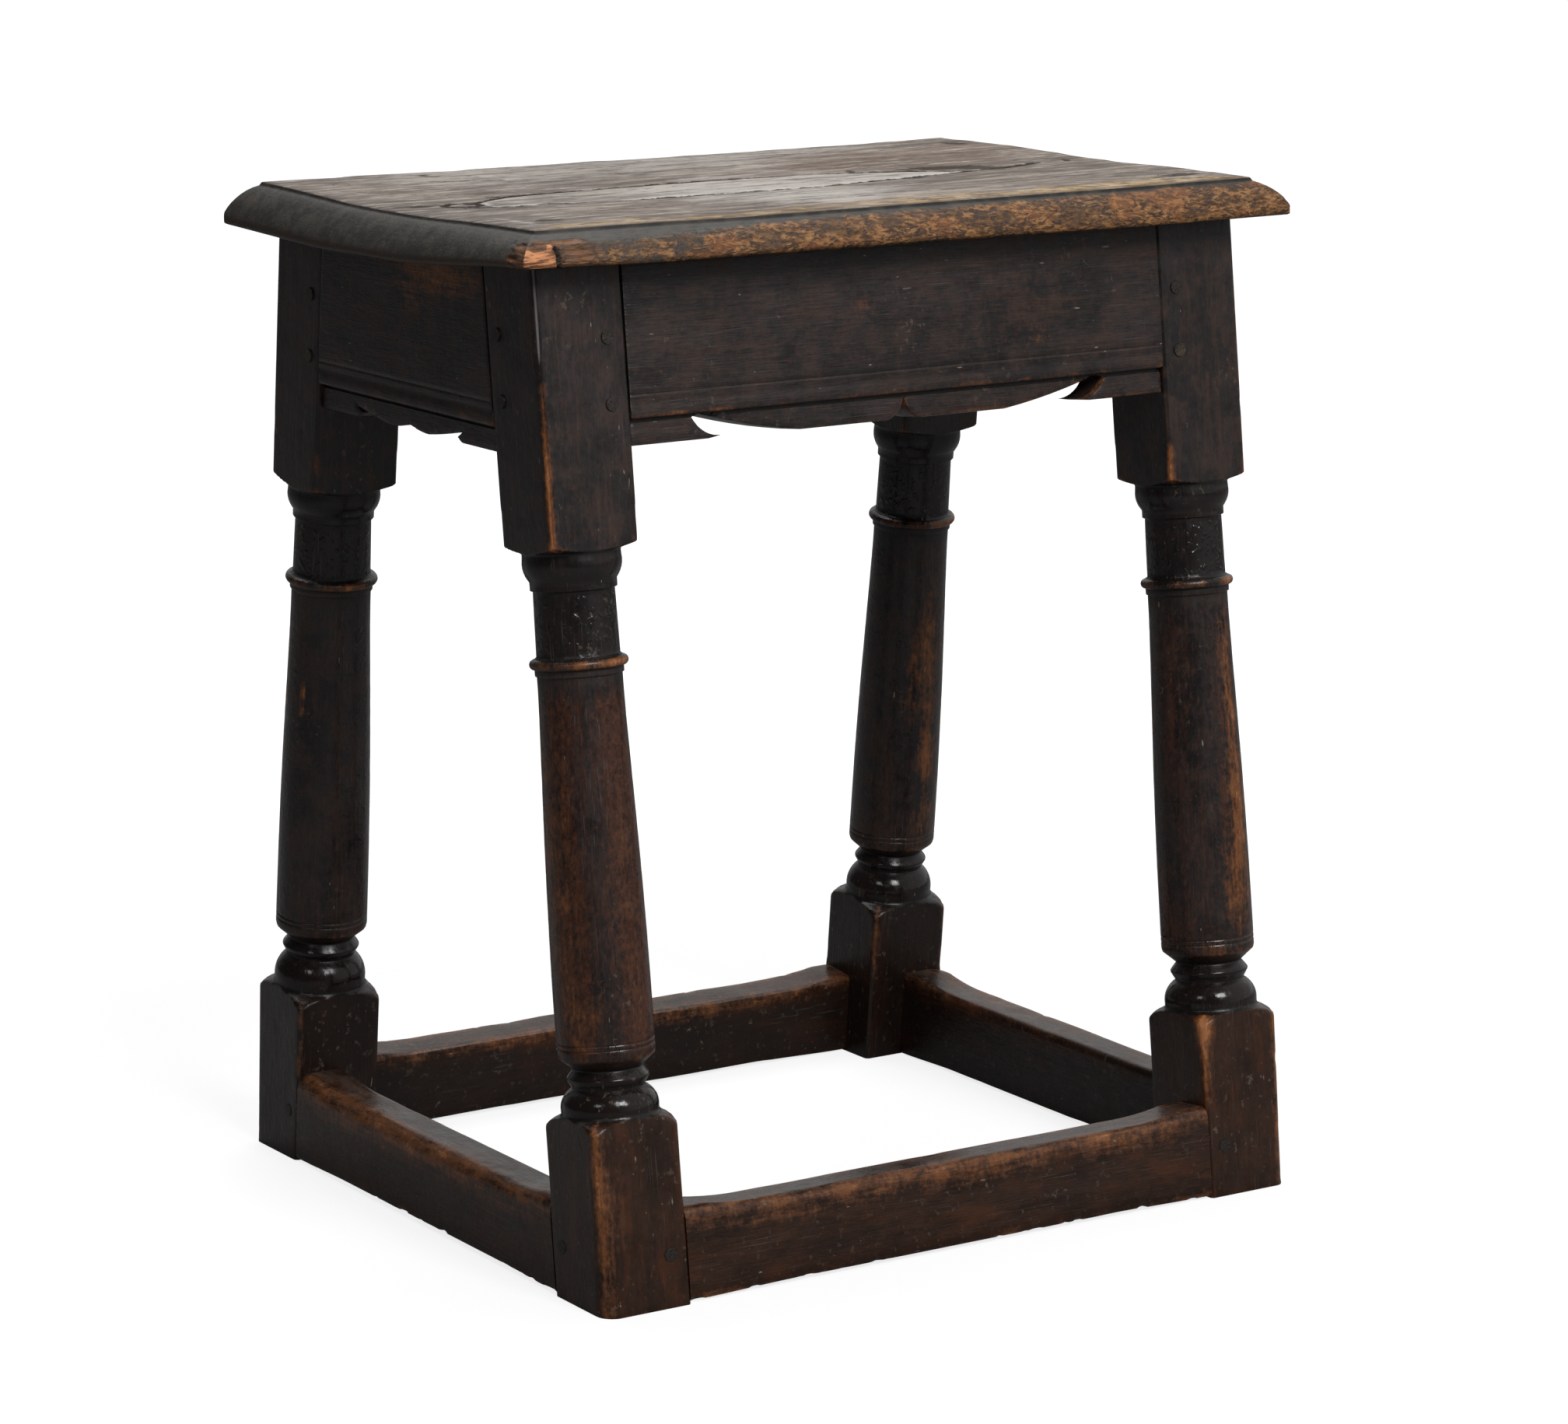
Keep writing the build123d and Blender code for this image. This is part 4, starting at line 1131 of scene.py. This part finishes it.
def board_skin(node, material, seed):
    board = BoardGrid(node)
    figure, depth = board_figure(board.points, seed)
    points = lowered_board(board, depth, seed)
    round_board_corners(board, points)
    broken = break_board_edge(board, points, seed)

    x, down, from_rim = board.x, board.down, board.from_rim
    trodden = smoothstep(42, 0, from_rim) * board.front * ~board.on_edge
    bare_from = np.interp(x, *BARE_FROM)
    bare_share = 0.7 + 0.3 * smoothstep(-170, -40, x)
    fields = {
        "grain": points + GRAIN_SHIFT * seed,
        "down": down,
        "bare": board.on_front * bare_share * smoothstep(bare_from, bare_from + 6, down),
        "left_low": board.on_left * smoothstep(17, 27, down),
        "ochre": trodden * (0.6 + 0.4 * smoothstep(-120, 160, x)),
        "rim": np.where(board.on_edge, 0, smoothstep(5, 0.5, from_rim)),
    }
    fields = {**fields, **broken, **figure}
    make_piece(node, points, board.faces, fields, material, smooth_angle=50)


BOARD_PEG_SIDES = 28


def board_peg_skin(node, material, seed):
    """The pegs that hold the board, cut off level with its worn top."""
    _, high = node_box("top_board")
    half_x, half_y = high[:2] - MOULDING_WIDTH
    turn = np.linspace(0, 2 * math.pi, BOARD_PEG_SIDES, endpoint=False)
    circle = np.stack([np.cos(turn), np.sin(turn)], axis=1)
    points, faces = [], []
    for middle, _, half_length in PEG_AXES[node]:
        shares = np.array([1, 1, 0.94, 0.7, 0.4, 0.1]) * (BOARD_PEG_RADIUS - 0.05)
        flat = middle[:2] + shares[:, None, None] * circle
        x, y = flat.reshape(-1, 2).T
        top = high[2] - 0.45 - worn_height(x, y, half_x, half_y)
        places = np.column_stack([x, y, top])
        places[:, 2] -= 0.25 * np.abs(noise(places, 3.5, seed))
        places[: len(turn), 2] = middle[2] - half_length
        places[len(turn) : 2 * len(turn), 2] -= 0.5
        faces += tube_faces(len(shares), len(turn), first=len(turn) * len(shares) * len(points))
        points.append(places)
    make_piece(node, np.vstack(points), faces, {}, material)


# ---- Materials ----


class Shading:
    """The nodes of a material or a world, put together from short steps."""

    def __init__(self, owner):
        owner.use_nodes = True
        self.owner = owner
        self.nodes = owner.node_tree.nodes
        self.links = owner.node_tree.links

    def node(self, kind, *inputs, **settings):
        node = self.nodes.new(kind)
        for name, value in settings.items():
            setattr(node, name, value)
        for socket, value in zip(node.inputs, inputs):
            self.feed(socket, value)
        return node

    def feed(self, socket, value):
        if value is None:
            return
        if isinstance(value, bpy.types.NodeSocket):
            self.links.new(value, socket)
        elif isinstance(value, tuple) and socket.type == "RGBA":
            socket.default_value = (*value, 1)
        else:
            socket.default_value = value

    def attribute(self, name, output="Fac"):
        return self.node("ShaderNodeAttribute", attribute_name=name).outputs[output]

    def place(self):
        """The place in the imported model's frame."""
        return self.node("ShaderNodeTexCoord").outputs["Object"]

    def grain(self):
        """The place along and across a piece's own grain."""
        return self.scaled(self.attribute("grain", "Vector"), (MM, MM, MM))

    def math(self, operation, a, b):
        return self.node("ShaderNodeMath", a, b, operation=operation).outputs[0]

    def times(self, a, b):
        return self.math("MULTIPLY", a, b)

    def plus(self, a, b):
        return self.math("ADD", a, b)

    def scaled(self, vector, scale):
        return self.node("ShaderNodeVectorMath", vector, scale, operation="MULTIPLY").outputs[0]

    def noise(self, vector, size, detail=3.0, roughness=0.55, distortion=0.0):
        """Noise from about 0.3 to 0.7; size is that of its patches in metres, or one per axis."""
        sizes = size if isinstance(size, tuple) else (size, size, size)
        place = self.scaled(vector, tuple(1 / s for s in sizes))
        node = self.node("ShaderNodeTexNoise", place)
        settings = {"Scale": 1.0, "Detail": detail, "Roughness": roughness, "Distortion": distortion}
        for name, value in settings.items():
            node.inputs[name].default_value = value
        return node.outputs["Fac"]

    def step(self, value, low, high):
        """0 below low, 1 above high and smooth between."""
        node = self.node("ShaderNodeMapRange", value, low, high, interpolation_type="SMOOTHSTEP")
        return node.outputs[0]

    def between(self, value, low, high, out_low, out_high):
        return self.node("ShaderNodeMapRange", value, low, high, out_low, out_high).outputs[0]

    def shifted(self, value, noise, reach):
        """The value, moved up and down by a noise, by as much as reach."""
        return self.plus(value, self.between(noise, 0.3, 0.7, -reach, reach))

    def mix(self, share, a, b, blend="MIX"):
        node = self.node("ShaderNodeMix", data_type="RGBA", blend_type=blend)
        self.feed(node.inputs["Factor"], share)
        self.feed(node.inputs[6], a)
        self.feed(node.inputs[7], b)
        return node.outputs[2]

    def coats(self, colour, *coats):
        """A colour with others laid over it, each as (value, low, high, share, colour).

        A coat is clear where its value is at low and has its whole share at high.
        """
        for value, low, high, share, coat in coats:
            colour = self.mix(self.times(self.step(value, low, high), share), colour, coat)
        return colour

    def bump(self, height, distance, strength, below=None):
        node = self.node("ShaderNodeBump")
        node.inputs["Strength"].default_value = strength
        node.inputs["Distance"].default_value = distance
        self.feed(node.inputs["Height"], height)
        self.feed(node.inputs["Normal"], below)
        return node.outputs[0]

    def peg_ring(self, place, radius):
        """1 along the dark joint around each peg."""
        away = self.node("ShaderNodeVectorMath", self.attribute("peg", "Vector"), operation="LENGTH")
        wobble = self.between(self.noise(place, 0.003, 1), 0.3, 0.7, -0.35, 0.35)
        ring = self.math("COMPARE", self.plus(away.outputs["Value"], wobble), radius + 0.2)
        ring.node.inputs[2].default_value = 0.4
        return ring

    def finish(self, colour, roughness, normal, specular):
        """Feeds the material's shader, and returns the material."""
        inputs = self.nodes["Principled BSDF"].inputs
        self.feed(inputs["Base Color"], colour)
        self.feed(inputs["Roughness"], roughness)
        self.feed(inputs["Normal"], normal)
        inputs["Specular IOR Level"].default_value = specular
        return self.owner


def new_surface(name):
    return Shading(bpy.data.materials.new(name))


def oak_noises(s, grain, place):
    """The noises that the parts of the dark oak share, by name."""
    return SimpleNamespace(
        cloud=s.noise(grain, (0.09, 0.045, 0.045), 3, 0.6),
        mottle=s.noise(place, 0.014, 4, 0.62),
        streak=s.noise(grain, (0.07, 0.005, 0.005), 5, 0.65),
        pores=s.noise(grain, (0.01, 0.0008, 0.0008), 2, 0.6),
        fine=s.noise(grain, (0.011, 0.0019, 0.0019), 3, 0.65),
        grit=s.noise(place, (0.0023, 0.0023, 0.0036), 3, 0.7),
    )


def waxed_wood(s, n, grain, low, polish, black):
    """Wax-darkened wood with a soft cloudiness, browner where low is 1, near the floor."""
    patch = s.noise(grain, (0.05, 0.016, 0.016), 4, 0.65)
    colour = s.mix(s.step(n.cloud, 0.36, 0.64), (0.01, 0.0084, 0.0088), (0.0225, 0.0172, 0.0168))
    colour = s.coats(
        colour,
        (n.mottle, 0.46, 0.62, 0.5, (0.038, 0.021, 0.015)),
        (n.mottle, 0.46, 0.34, 0.6, (0.0075, 0.0056, 0.0052)),
        (n.streak, 0.52, 0.68, 0.4, (0.046, 0.0235, 0.0145)),
    )
    red = s.shifted(polish, n.streak, 0.35)
    colour = s.mix(s.step(red, 0.2, 1.1), colour, (0.046, 0.016, 0.0085))
    gritty = s.plus(s.times(polish, 0.45), 0.15)
    colour = s.coats(
        colour,
        (n.fine, 0.53, 0.68, 0.2, (0.052, 0.03, 0.0205)),
        (n.fine, 0.47, 0.34, 0.28, (0.0055, 0.004, 0.0036)),
        (n.pores, 0.56, 0.68, 0.4, (0.005, 0.0038, 0.0034)),
        (n.grit, 0.53, 0.66, gritty, (0.085, 0.03, 0.015)),
        (n.grit, 0.48, 0.36, gritty, (0.0055, 0.0042, 0.0038)),
    )
    colour = s.mix(s.times(low, 0.45), colour, (0.027, 0.012, 0.0055))
    colour = s.coats(
        colour,
        (patch, 0.52, 0.66, s.times(low, 0.6), (0.056, 0.024, 0.0095)),
        (patch, 0.47, 0.36, s.times(low, 0.6), (0.0085, 0.005, 0.0035)),
    )
    colour = s.mix(low, colour, s.mix(1.0, colour, (1.0, 0.68, 0.44), "MULTIPLY"))
    return s.mix(s.times(black, 0.85), colour, (0.0065, 0.0052, 0.005))


def rubbed_wood(s, n, colour):
    """The colour with its rubbed edges and patches, first brown and then orange, and a painted grey
    highlight along the legs' upper arrises.
    """
    wear = s.attribute("wear")
    ragged = s.between(n.mottle, 0.3, 0.7, -0.3, 0.3)
    for noise, reach in ((n.streak, 0.3), (n.fine, 0.2), (n.grit, 0.3)):
        ragged = s.shifted(ragged, noise, reach)
    worn = s.plus(wear, s.times(s.step(wear, 0.02, 0.4), ragged))
    colour = s.coats(
        colour,
        (worn, 0.15, 0.55, 0.8, (0.07, 0.0265, 0.0115)),
        (worn, 0.5, 0.95, 0.85, (0.165, 0.06, 0.019)),
        (worn, 1.0, 1.4, 0.8, (0.34, 0.135, 0.056)),
    )
    # painted grey highlight along the legs' upper arrises
    return s.mix(s.step(s.attribute("arris_highlight"), 0.35, 0.8), colour, (0.14, 0.13, 0.135))


def soiled_wood(s, n, colour, grain, place, low, recess):
    """The colour with painted shade in its hollows, dust with a painted grey sheen, scratches and pale
    flecks.
    """
    scratch = s.noise(grain, (0.03, 0.0006, 0.0006), 1, 0.5)
    dab = s.noise(place, 0.0045, 2, 0.6)
    # painted shade in the hollows, and on the rails dark joint lines
    colour = s.mix(s.times(recess, 0.7), colour, (0.0055, 0.0042, 0.004))
    # grey on the stretchers' tops: dust and a painted sheen
    grey = s.times(s.times(s.attribute("dust_and_sheen"), s.step(n.mottle, 0.3, 0.62)), 0.3)
    colour = s.mix(grey, colour, (0.085, 0.075, 0.068))
    scuffed = s.times(s.step(scratch, 0.66, 0.74), s.step(n.cloud, 0.45, 0.6))
    colour = s.mix(s.times(scuffed, 0.4), colour, (0.1, 0.085, 0.078))
    speck = s.step(s.noise(grain, (0.0065, 0.0012, 0.0012), 0, 0.5), 0.825, 0.86)
    speck = s.times(speck, s.step(dab, 0.5, 0.58))
    colour = s.mix(s.times(speck, 0.7), colour, (0.24, 0.2, 0.165))
    cluster = s.plus(s.step(s.noise(place, 0.038, 2, 0.6), 0.54, 0.66), s.times(low, 0.5))
    fleck = s.step(s.noise(place, (0.0034, 0.0034, 0.0042), 3, 0.65), 0.6, 0.68)
    colour = s.mix(s.times(s.times(fleck, cluster), 0.55), colour, (0.098, 0.074, 0.055))
    return s.mix(s.times(s.peg_ring(place, PEG_RADIUS), 0.35), colour, (0.004, 0.0034, 0.003))


def dark_oak(name):
    """Old oak under dark wax, worn to brown and orange. An attribute that a piece lacks reads as 0."""
    s = new_surface(name)
    grain, place = s.grain(), s.place()
    n = oak_noises(s, grain, place)
    low = s.step(s.node("ShaderNodeSeparateXYZ", place).outputs["Z"], 0.15, 0.08)
    recess, gloss = s.attribute("recess"), s.attribute("gloss")

    colour = waxed_wood(s, n, grain, low, s.attribute("polish"), s.attribute("black"))
    colour = rubbed_wood(s, n, colour)
    colour = soiled_wood(s, n, colour, grain, place, low, recess)

    roughness = s.between(n.mottle, 0.3, 0.7, 0.24, 0.38)
    roughness = s.plus(roughness, s.between(n.fine, 0.4, 0.65, 0.0, 0.1))
    for value, share in ((gloss, -0.15), (recess, 0.15), (low, -0.04)):
        roughness = s.plus(roughness, s.times(value, share))
    height = s.plus(s.times(n.streak, 0.5), s.times(n.pores, -0.45))
    height = s.plus(height, s.times(n.fine, 0.35))
    smooth = s.plus(1.0, s.times(gloss, -0.85))
    normal = s.bump(s.times(height, smooth), 0.0006, 0.5)
    normal = s.bump(s.noise(place, 0.02, 3, 0.6), 0.003, 0.16, normal)
    pimples = s.step(s.noise(place, (0.0027, 0.0027, 0.0038), 1, 0.5), 0.52, 0.74)
    raised = s.plus(0.06, s.times(s.attribute("crackle"), 0.9))
    normal = s.bump(s.times(pimples, raised), 0.0008, 0.6, normal)
    return s.finish(colour, roughness, normal, 0.32)


def greyed_field(s, n, grain, wave):
    """Greyed oak, darker at the left, with painted sheen towards the back, over the lens and in
    patches, and ochre where the board's front is rubbed.
    """
    cloud = s.noise(grain, (0.15, 0.05, 0.05), 4, 0.65)
    colour = s.mix(s.step(cloud, 0.36, 0.64), (0.115, 0.086, 0.067), (0.215, 0.176, 0.146))
    left_dark_back_sheen = s.attribute("left_dark_back_sheen")
    colour = s.coats(
        colour,
        (wave, 0.5, 0.68, 0.5, (0.095, 0.066, 0.048)),
        # darker at the left, and a painted sheen at the back
        (left_dark_back_sheen, 0.0, 1.0, 0.6, (0.09, 0.07, 0.056)),
        (left_dark_back_sheen, 0.0, -1.0, 0.6, (0.36, 0.33, 0.3)),
        (s.shifted(s.attribute("brown"), wave, 0.25), 0.15, 0.8, 0.7, (0.13, 0.078, 0.048)),
        # painted sheen and highlights where pale is set
        (s.shifted(s.attribute("pale"), wave, 0.25), 0.15, 0.95, 0.8, (0.47, 0.43, 0.39)),
        (n.streak, 0.5, 0.68, 0.6, (0.38, 0.33, 0.28)),
        (n.streak, 0.5, 0.34, 0.6, (0.07, 0.052, 0.04)),
    )
    rust = s.mix(s.step(n.mottle, 0.4, 0.6), (0.12, 0.058, 0.02), (0.44, 0.3, 0.13))
    flecks = s.noise(grain, (0.012, 0.005, 0.005), 4, 0.7)
    colour = s.coats(
        colour,
        (s.shifted(s.attribute("ochre"), wave, 0.25), 0.1, 0.85, 0.85, rust),
        (n.dash, 0.53, 0.66, 0.5, (0.52, 0.47, 0.41)),
        (n.dash, 0.47, 0.36, 0.7, (0.05, 0.037, 0.028)),
        (n.pores, 0.58, 0.7, 0.4, (0.045, 0.033, 0.025)),
        (flecks, 0.56, 0.66, 0.6, (0.04, 0.028, 0.021)),
    )
    return colour


def board_flat(s, n, grain, place):
    """Colour of the board's flat, how deep its seams are and how dull its marks."""
    seam, strength, inside = s.attribute("seam"), s.attribute("seam_strength"), s.attribute("inside")
    colour = greyed_field(s, n, grain, s.noise(place, 0.03, 4, 0.65))

    # each seam is a hollow painted dark as shade, with a painted highlight along it on the lens's side
    warped = s.shifted(seam, s.noise(place, 0.005, 3, 0.65), 1.1)
    seam_highlight = s.times(s.times(s.step(warped, 8.0, 3.5), s.step(inside, 0.3, 2.0)), strength)
    colour = s.mix(s.times(seam_highlight, 0.75), colour, (0.52, 0.485, 0.45))
    narrowed = s.plus(warped, s.between(strength, 0.2, 1.0, 1.3, 0.0))
    # hollow is the seams' groove, painted dark as shade
    hollow = s.times(s.step(narrowed, 3.3, 1.9), s.step(strength, 0.05, 0.5))
    colour = s.mix(s.times(hollow, 0.97), colour, (0.016, 0.012, 0.01))
    stained = s.step(s.shifted(s.attribute("stain"), n.mottle, 0.35), 0.2, 0.75)
    colour = s.mix(s.times(stained, 0.85), colour, (0.03, 0.023, 0.018))
    scored = s.step(s.shifted(s.attribute("gouge"), n.mottle, 0.8), 2.6, 1.0)
    colour = s.mix(s.times(scored, 0.8), colour, (0.04, 0.032, 0.026))
    dull = s.math("MAXIMUM", s.math("MAXIMUM", hollow, scored), stained)
    return colour, hollow, dull


def rubbed_moulding(s, n, area):
    """Ochre wood where the moulding's dark coat has gone."""
    ochre = s.mix(s.step(n.mottle, 0.38, 0.62), (0.1, 0.04, 0.013), (0.2, 0.09, 0.028))
    return s.coats(
        ochre,
        (n.tiny, 0.5, 0.62, 0.5, (0.34, 0.19, 0.075)),
        (n.curls, 0.51, 0.57, 0.85, (0.026, 0.014, 0.008)),
        (n.tiny, 0.48, 0.4, 0.75, (0.026, 0.014, 0.008)),
        (area, 0.49, 0.4, 0.65, (0.04, 0.02, 0.01)),
        (area, 0.53, 0.64, 0.45, (0.215, 0.075, 0.024)),
    )


def board_edge(s, n, place, down, bare):
    """Dark under the board's rim, with painted shade in the quirk right below it, rubbed to ochre along
    the front and broken at one corner.
    """
    dark = s.mix(s.step(n.mottle, 0.4, 0.62), (0.032, 0.029, 0.025), (0.056, 0.05, 0.043))
    brown = s.shifted(s.attribute("left_low"), n.mottle, 0.3)
    dark = s.coats(dark, (brown, 0.3, 1.0, 0.7, (0.04, 0.019, 0.01)))
    area = s.noise(place, (0.026, 0.026, 0.012), 4, 0.65)
    uneven = s.shifted(s.between(n.mottle, 0.3, 0.7, -0.35, 0.35), area, 0.2)
    edge = s.mix(s.step(s.plus(uneven, bare), 0.3, 0.9), dark, rubbed_moulding(s, n, area))
    edge = s.mix(s.times(s.times(s.attribute("chips"), bare), 0.2), edge, (0.21, 0.09, 0.03))

    torn = s.noise(place, (0.014, 0.014, 0.0016), 4, 0.65)
    fibre = s.mix(s.step(torn, 0.4, 0.6), (0.034, 0.016, 0.008), (0.15, 0.066, 0.026))
    raw = s.mix(s.step(torn, 0.4, 0.58), (0.1, 0.034, 0.012), (0.5, 0.215, 0.09))
    edge = s.mix(s.step(s.shifted(s.attribute("corner"), n.tiny, 0.3), 0.3, 0.7), edge, fibre)
    edge = s.mix(s.step(s.attribute("raw"), 0.4, 0.7), edge, raw)
    edge = s.mix(s.step(s.attribute("split"), 0.2, 0.6), edge, (0.01, 0.006, 0.004))
    edge = s.mix(s.step(down, 34.0, 38.0), edge, (0.055, 0.036, 0.025))
    # painted shade in the quirk right under the rim
    quirk_shade = s.times(s.step(down, 0.3, 1.0), s.step(down, 3.2, 1.6))
    quirk_shade = s.times(quirk_shade, s.between(n.mottle, 0.4, 0.6, 0.95, 0.6))
    return s.mix(quirk_shade, edge, (0.0085, 0.0068, 0.0055))


def weathered_board(name):
    """Scrubbed, greyed oak on the flat of the board, and a darker, worn moulding."""
    s = new_surface(name)
    grain, place = s.grain(), s.place()
    down, bare = s.attribute("down"), s.attribute("bare")
    n = SimpleNamespace(
        streak=s.noise(grain, (0.11, 0.0075, 0.0075), 5, 0.65),
        dash=s.noise(grain, (0.026, 0.0056, 0.0056), 5, 0.72),
        pores=s.noise(grain, (0.012, 0.0008, 0.0008), 2, 0.6),
        mottle=s.noise(place, 0.009, 4, 0.65),
        curls=s.noise(place, (0.0068, 0.0068, 0.0024), 3, 0.6, 1.5),
        tiny=s.noise(place, (0.0044, 0.0044, 0.0014), 3, 0.65),
    )
    field, hollow, dull = board_flat(s, n, grain, place)
    on_edge = s.step(down, 0.2, 1.0)
    colour = s.mix(on_edge, field, board_edge(s, n, place, down, bare))
    rim = s.times(s.attribute("rim"), s.step(n.mottle, 0.42, 0.56))
    colour = s.mix(s.times(rim, 0.75), colour, (0.05, 0.031, 0.017))
    colour = s.mix(s.times(s.peg_ring(place, BOARD_PEG_RADIUS), 0.8), colour, (0.02, 0.016, 0.013))

    roughness = s.between(n.mottle, 0.3, 0.7, 0.52, 0.7)
    roughness = s.plus(roughness, s.times(s.attribute("pale"), -0.16))
    roughness = s.plus(roughness, s.between(n.dash, 0.4, 0.6, 0.08, -0.08))
    roughness = s.plus(roughness, s.times(dull, 0.4))
    roughness = s.mix(on_edge, roughness, s.between(n.mottle, 0.3, 0.7, 0.42, 0.6))
    height = s.plus(s.times(n.streak, 0.5), s.times(n.pores, -0.4))
    for value, share in ((n.dash, 0.6), (hollow, -1.2)):
        height = s.plus(height, s.times(value, share))
    normal = s.bump(height, 0.001, 0.6)
    pitted = s.times(s.plus(s.step(n.curls, 0.62, 0.5), n.tiny), bare)
    normal = s.bump(pitted, 0.0008, 0.6, normal)
    normal = s.bump(n.mottle, 0.002, 0.2, normal)
    return s.finish(colour, roughness, normal, 0.3)


def peg_oak(name):
    """Dark end grain of the pegs; one here and there is a little olive."""
    s = new_surface(name)
    place = s.place()
    ends = s.noise(place, 0.0012, 3, 0.6)
    each = s.noise(place, 0.045, 0)
    share = s.step(ends, 0.4, 0.62)
    dark = s.mix(share, (0.0095, 0.007, 0.006), (0.0215, 0.0145, 0.0115))
    olive = s.mix(share, (0.024, 0.019, 0.011), (0.055, 0.042, 0.024))
    colour = s.mix(s.step(each, 0.55, 0.68), dark, olive)
    roughness = s.between(ends, 0.3, 0.7, 0.35, 0.55)
    return s.finish(colour, roughness, s.bump(ends, 0.0006, 0.6), 0.3)


# ---- The pieces ----

BOARD_SEED = 3  # the other pieces take their place in the list of nodes

frame_oak = dark_oak("dark_oak")
board_oak = weathered_board("weathered_oak")
pegs_oak = peg_oak("peg_oak")

for seed, node in enumerate(sorted(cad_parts), start=1):
    if node == "top_board":
        board_skin(node, board_oak, seed=BOARD_SEED)
    elif node == "top_pegs":
        board_peg_skin(node, pegs_oak, seed)
    elif node in PEG_NODES:
        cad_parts[node].data.materials.clear()
        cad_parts[node].data.materials.append(pegs_oak)
    elif node.startswith("leg_"):
        leg_skin(node, frame_oak, seed)
    elif node.startswith("rail_"):
        rail_skin(node, frame_oak, seed)
    else:
        stretcher_skin(node, frame_oak, seed)

# ---- Studio ----

PHOTO_WIDTH = 2016  # pixels
CAMERA_PLACE = (-1400.58, -2229.39, 784.04)  # millimetres
CAMERA_TURN, CAMERA_TILT, CAMERA_ROLL = -32.425, -11.659, -0.347  # degrees
CAMERA_FOCUS = 6697.6  # focal length, in pixels of the photograph
SENSOR_WIDTH = 36.0
FLOOR_REACH = 30.0  # metres
LAMP_TARGET = Vector((0, 0, 0.26))  # metres; the lamps look at the middle of the stool's height


def make_camera():
    data = bpy.data.cameras.new("camera")
    data.sensor_width = SENSOR_WIDTH
    data.lens = CAMERA_FOCUS / PHOTO_WIDTH * SENSOR_WIDTH
    data.clip_start, data.clip_end = 0.1, 60
    camera = add_object("camera", data)
    turn, tilt, roll = [math.radians(a) for a in (CAMERA_TURN, CAMERA_TILT, CAMERA_ROLL)]
    aim = Matrix.Rotation(turn, 4, "Z") @ Matrix.Rotation(math.pi / 2 + tilt, 4, "X")
    place = Matrix.Translation(Vector(CAMERA_PLACE) * MM)
    camera.matrix_world = place @ aim @ Matrix.Rotation(roll, 4, "Z")
    bpy.context.scene.camera = camera


def floor_surface():
    """Matt and pale, with a glow that only the camera sees, a little weaker near the stool."""
    s = new_surface("floor")
    place = s.place()
    pale = s.mix(s.noise(place, 0.4, 2), (0.22, 0.22, 0.22), (0.26, 0.26, 0.26))
    material = s.finish(pale, 1.0, None, 0.0)
    away = s.node("ShaderNodeVectorMath", place, operation="LENGTH").outputs["Value"]
    near = s.step(away, 0.9, 0.45)
    glow = s.node("ShaderNodeEmission")
    s.feed(glow.inputs["Strength"], s.between(near, 0, 1, 1.0, 0.8))
    matt = s.nodes["Principled BSDF"].outputs[0]
    seen = s.node("ShaderNodeAddShader", matt, glow.outputs[0])
    camera_ray = s.node("ShaderNodeLightPath").outputs["Is Camera Ray"]
    choice = s.node("ShaderNodeMixShader", camera_ray, matt, seen.outputs[0])
    s.feed(s.nodes["Material Output"].inputs["Surface"], choice.outputs[0])
    return material


def make_floor():
    """Pale floor that the camera sees as white, with the stool's soft shadow under it."""
    reach = FLOOR_REACH
    corners = [(-reach, -reach, 0), (reach, -reach, 0), (reach, reach, 0), (-reach, reach, 0)]
    mesh = bpy.data.meshes.new("floor")
    mesh.from_pydata(corners, [], [(0, 1, 2, 3)])
    mesh.materials.append(floor_surface())
    add_object("floor", mesh)


def make_lamp(name, azimuth, elevation, distance, size, power):
    """A square soft lamp that looks at the stool from that direction."""
    data = bpy.data.lights.new(name, "AREA")
    data.shape = "SQUARE"
    data.size = size
    data.energy = power
    turn, lift = math.radians(azimuth), math.radians(elevation)
    way = Vector((math.sin(turn) * math.cos(lift), -math.cos(turn) * math.cos(lift), math.sin(lift)))
    lamp = add_object(name, data)
    lamp.location = way * distance + LAMP_TARGET
    lamp.rotation_euler = (-way).to_track_quat("-Z", "Y").to_euler()


def make_world():
    """White behind the stool, and for its light a room that is brighter on the right."""
    s = Shading(bpy.data.worlds.new("studio"))
    direction = s.node("ShaderNodeTexCoord").outputs["Generated"]
    across = s.node("ShaderNodeSeparateXYZ", direction).outputs["X"]
    values = (across, -0.5, 0.55, 0.05, 0.6)
    room = s.node("ShaderNodeMapRange", *values, interpolation_type="SMOOTHSTEP").outputs[0]
    mixed = s.node("ShaderNodeMix")
    s.feed(mixed.inputs["Factor"], s.node("ShaderNodeLightPath").outputs["Is Camera Ray"])
    s.feed(mixed.inputs["A"], room)
    s.feed(mixed.inputs["B"], 1.0)
    background = s.nodes["Background"].inputs
    s.feed(background["Strength"], mixed.outputs["Result"])
    s.feed(background["Color"], (1, 1, 1))
    bpy.context.scene.world = s.owner


make_camera()
make_floor()
make_world()
make_lamp("key", azimuth=-3, elevation=38, distance=2.8, size=1.0, power=60)
make_lamp("side", azimuth=-62, elevation=30, distance=2.8, size=0.55, power=5.5)
make_lamp("top", azimuth=165, elevation=68, distance=2.6, size=1.8, power=34)
bpy.context.scene.view_settings.view_transform = "Standard"
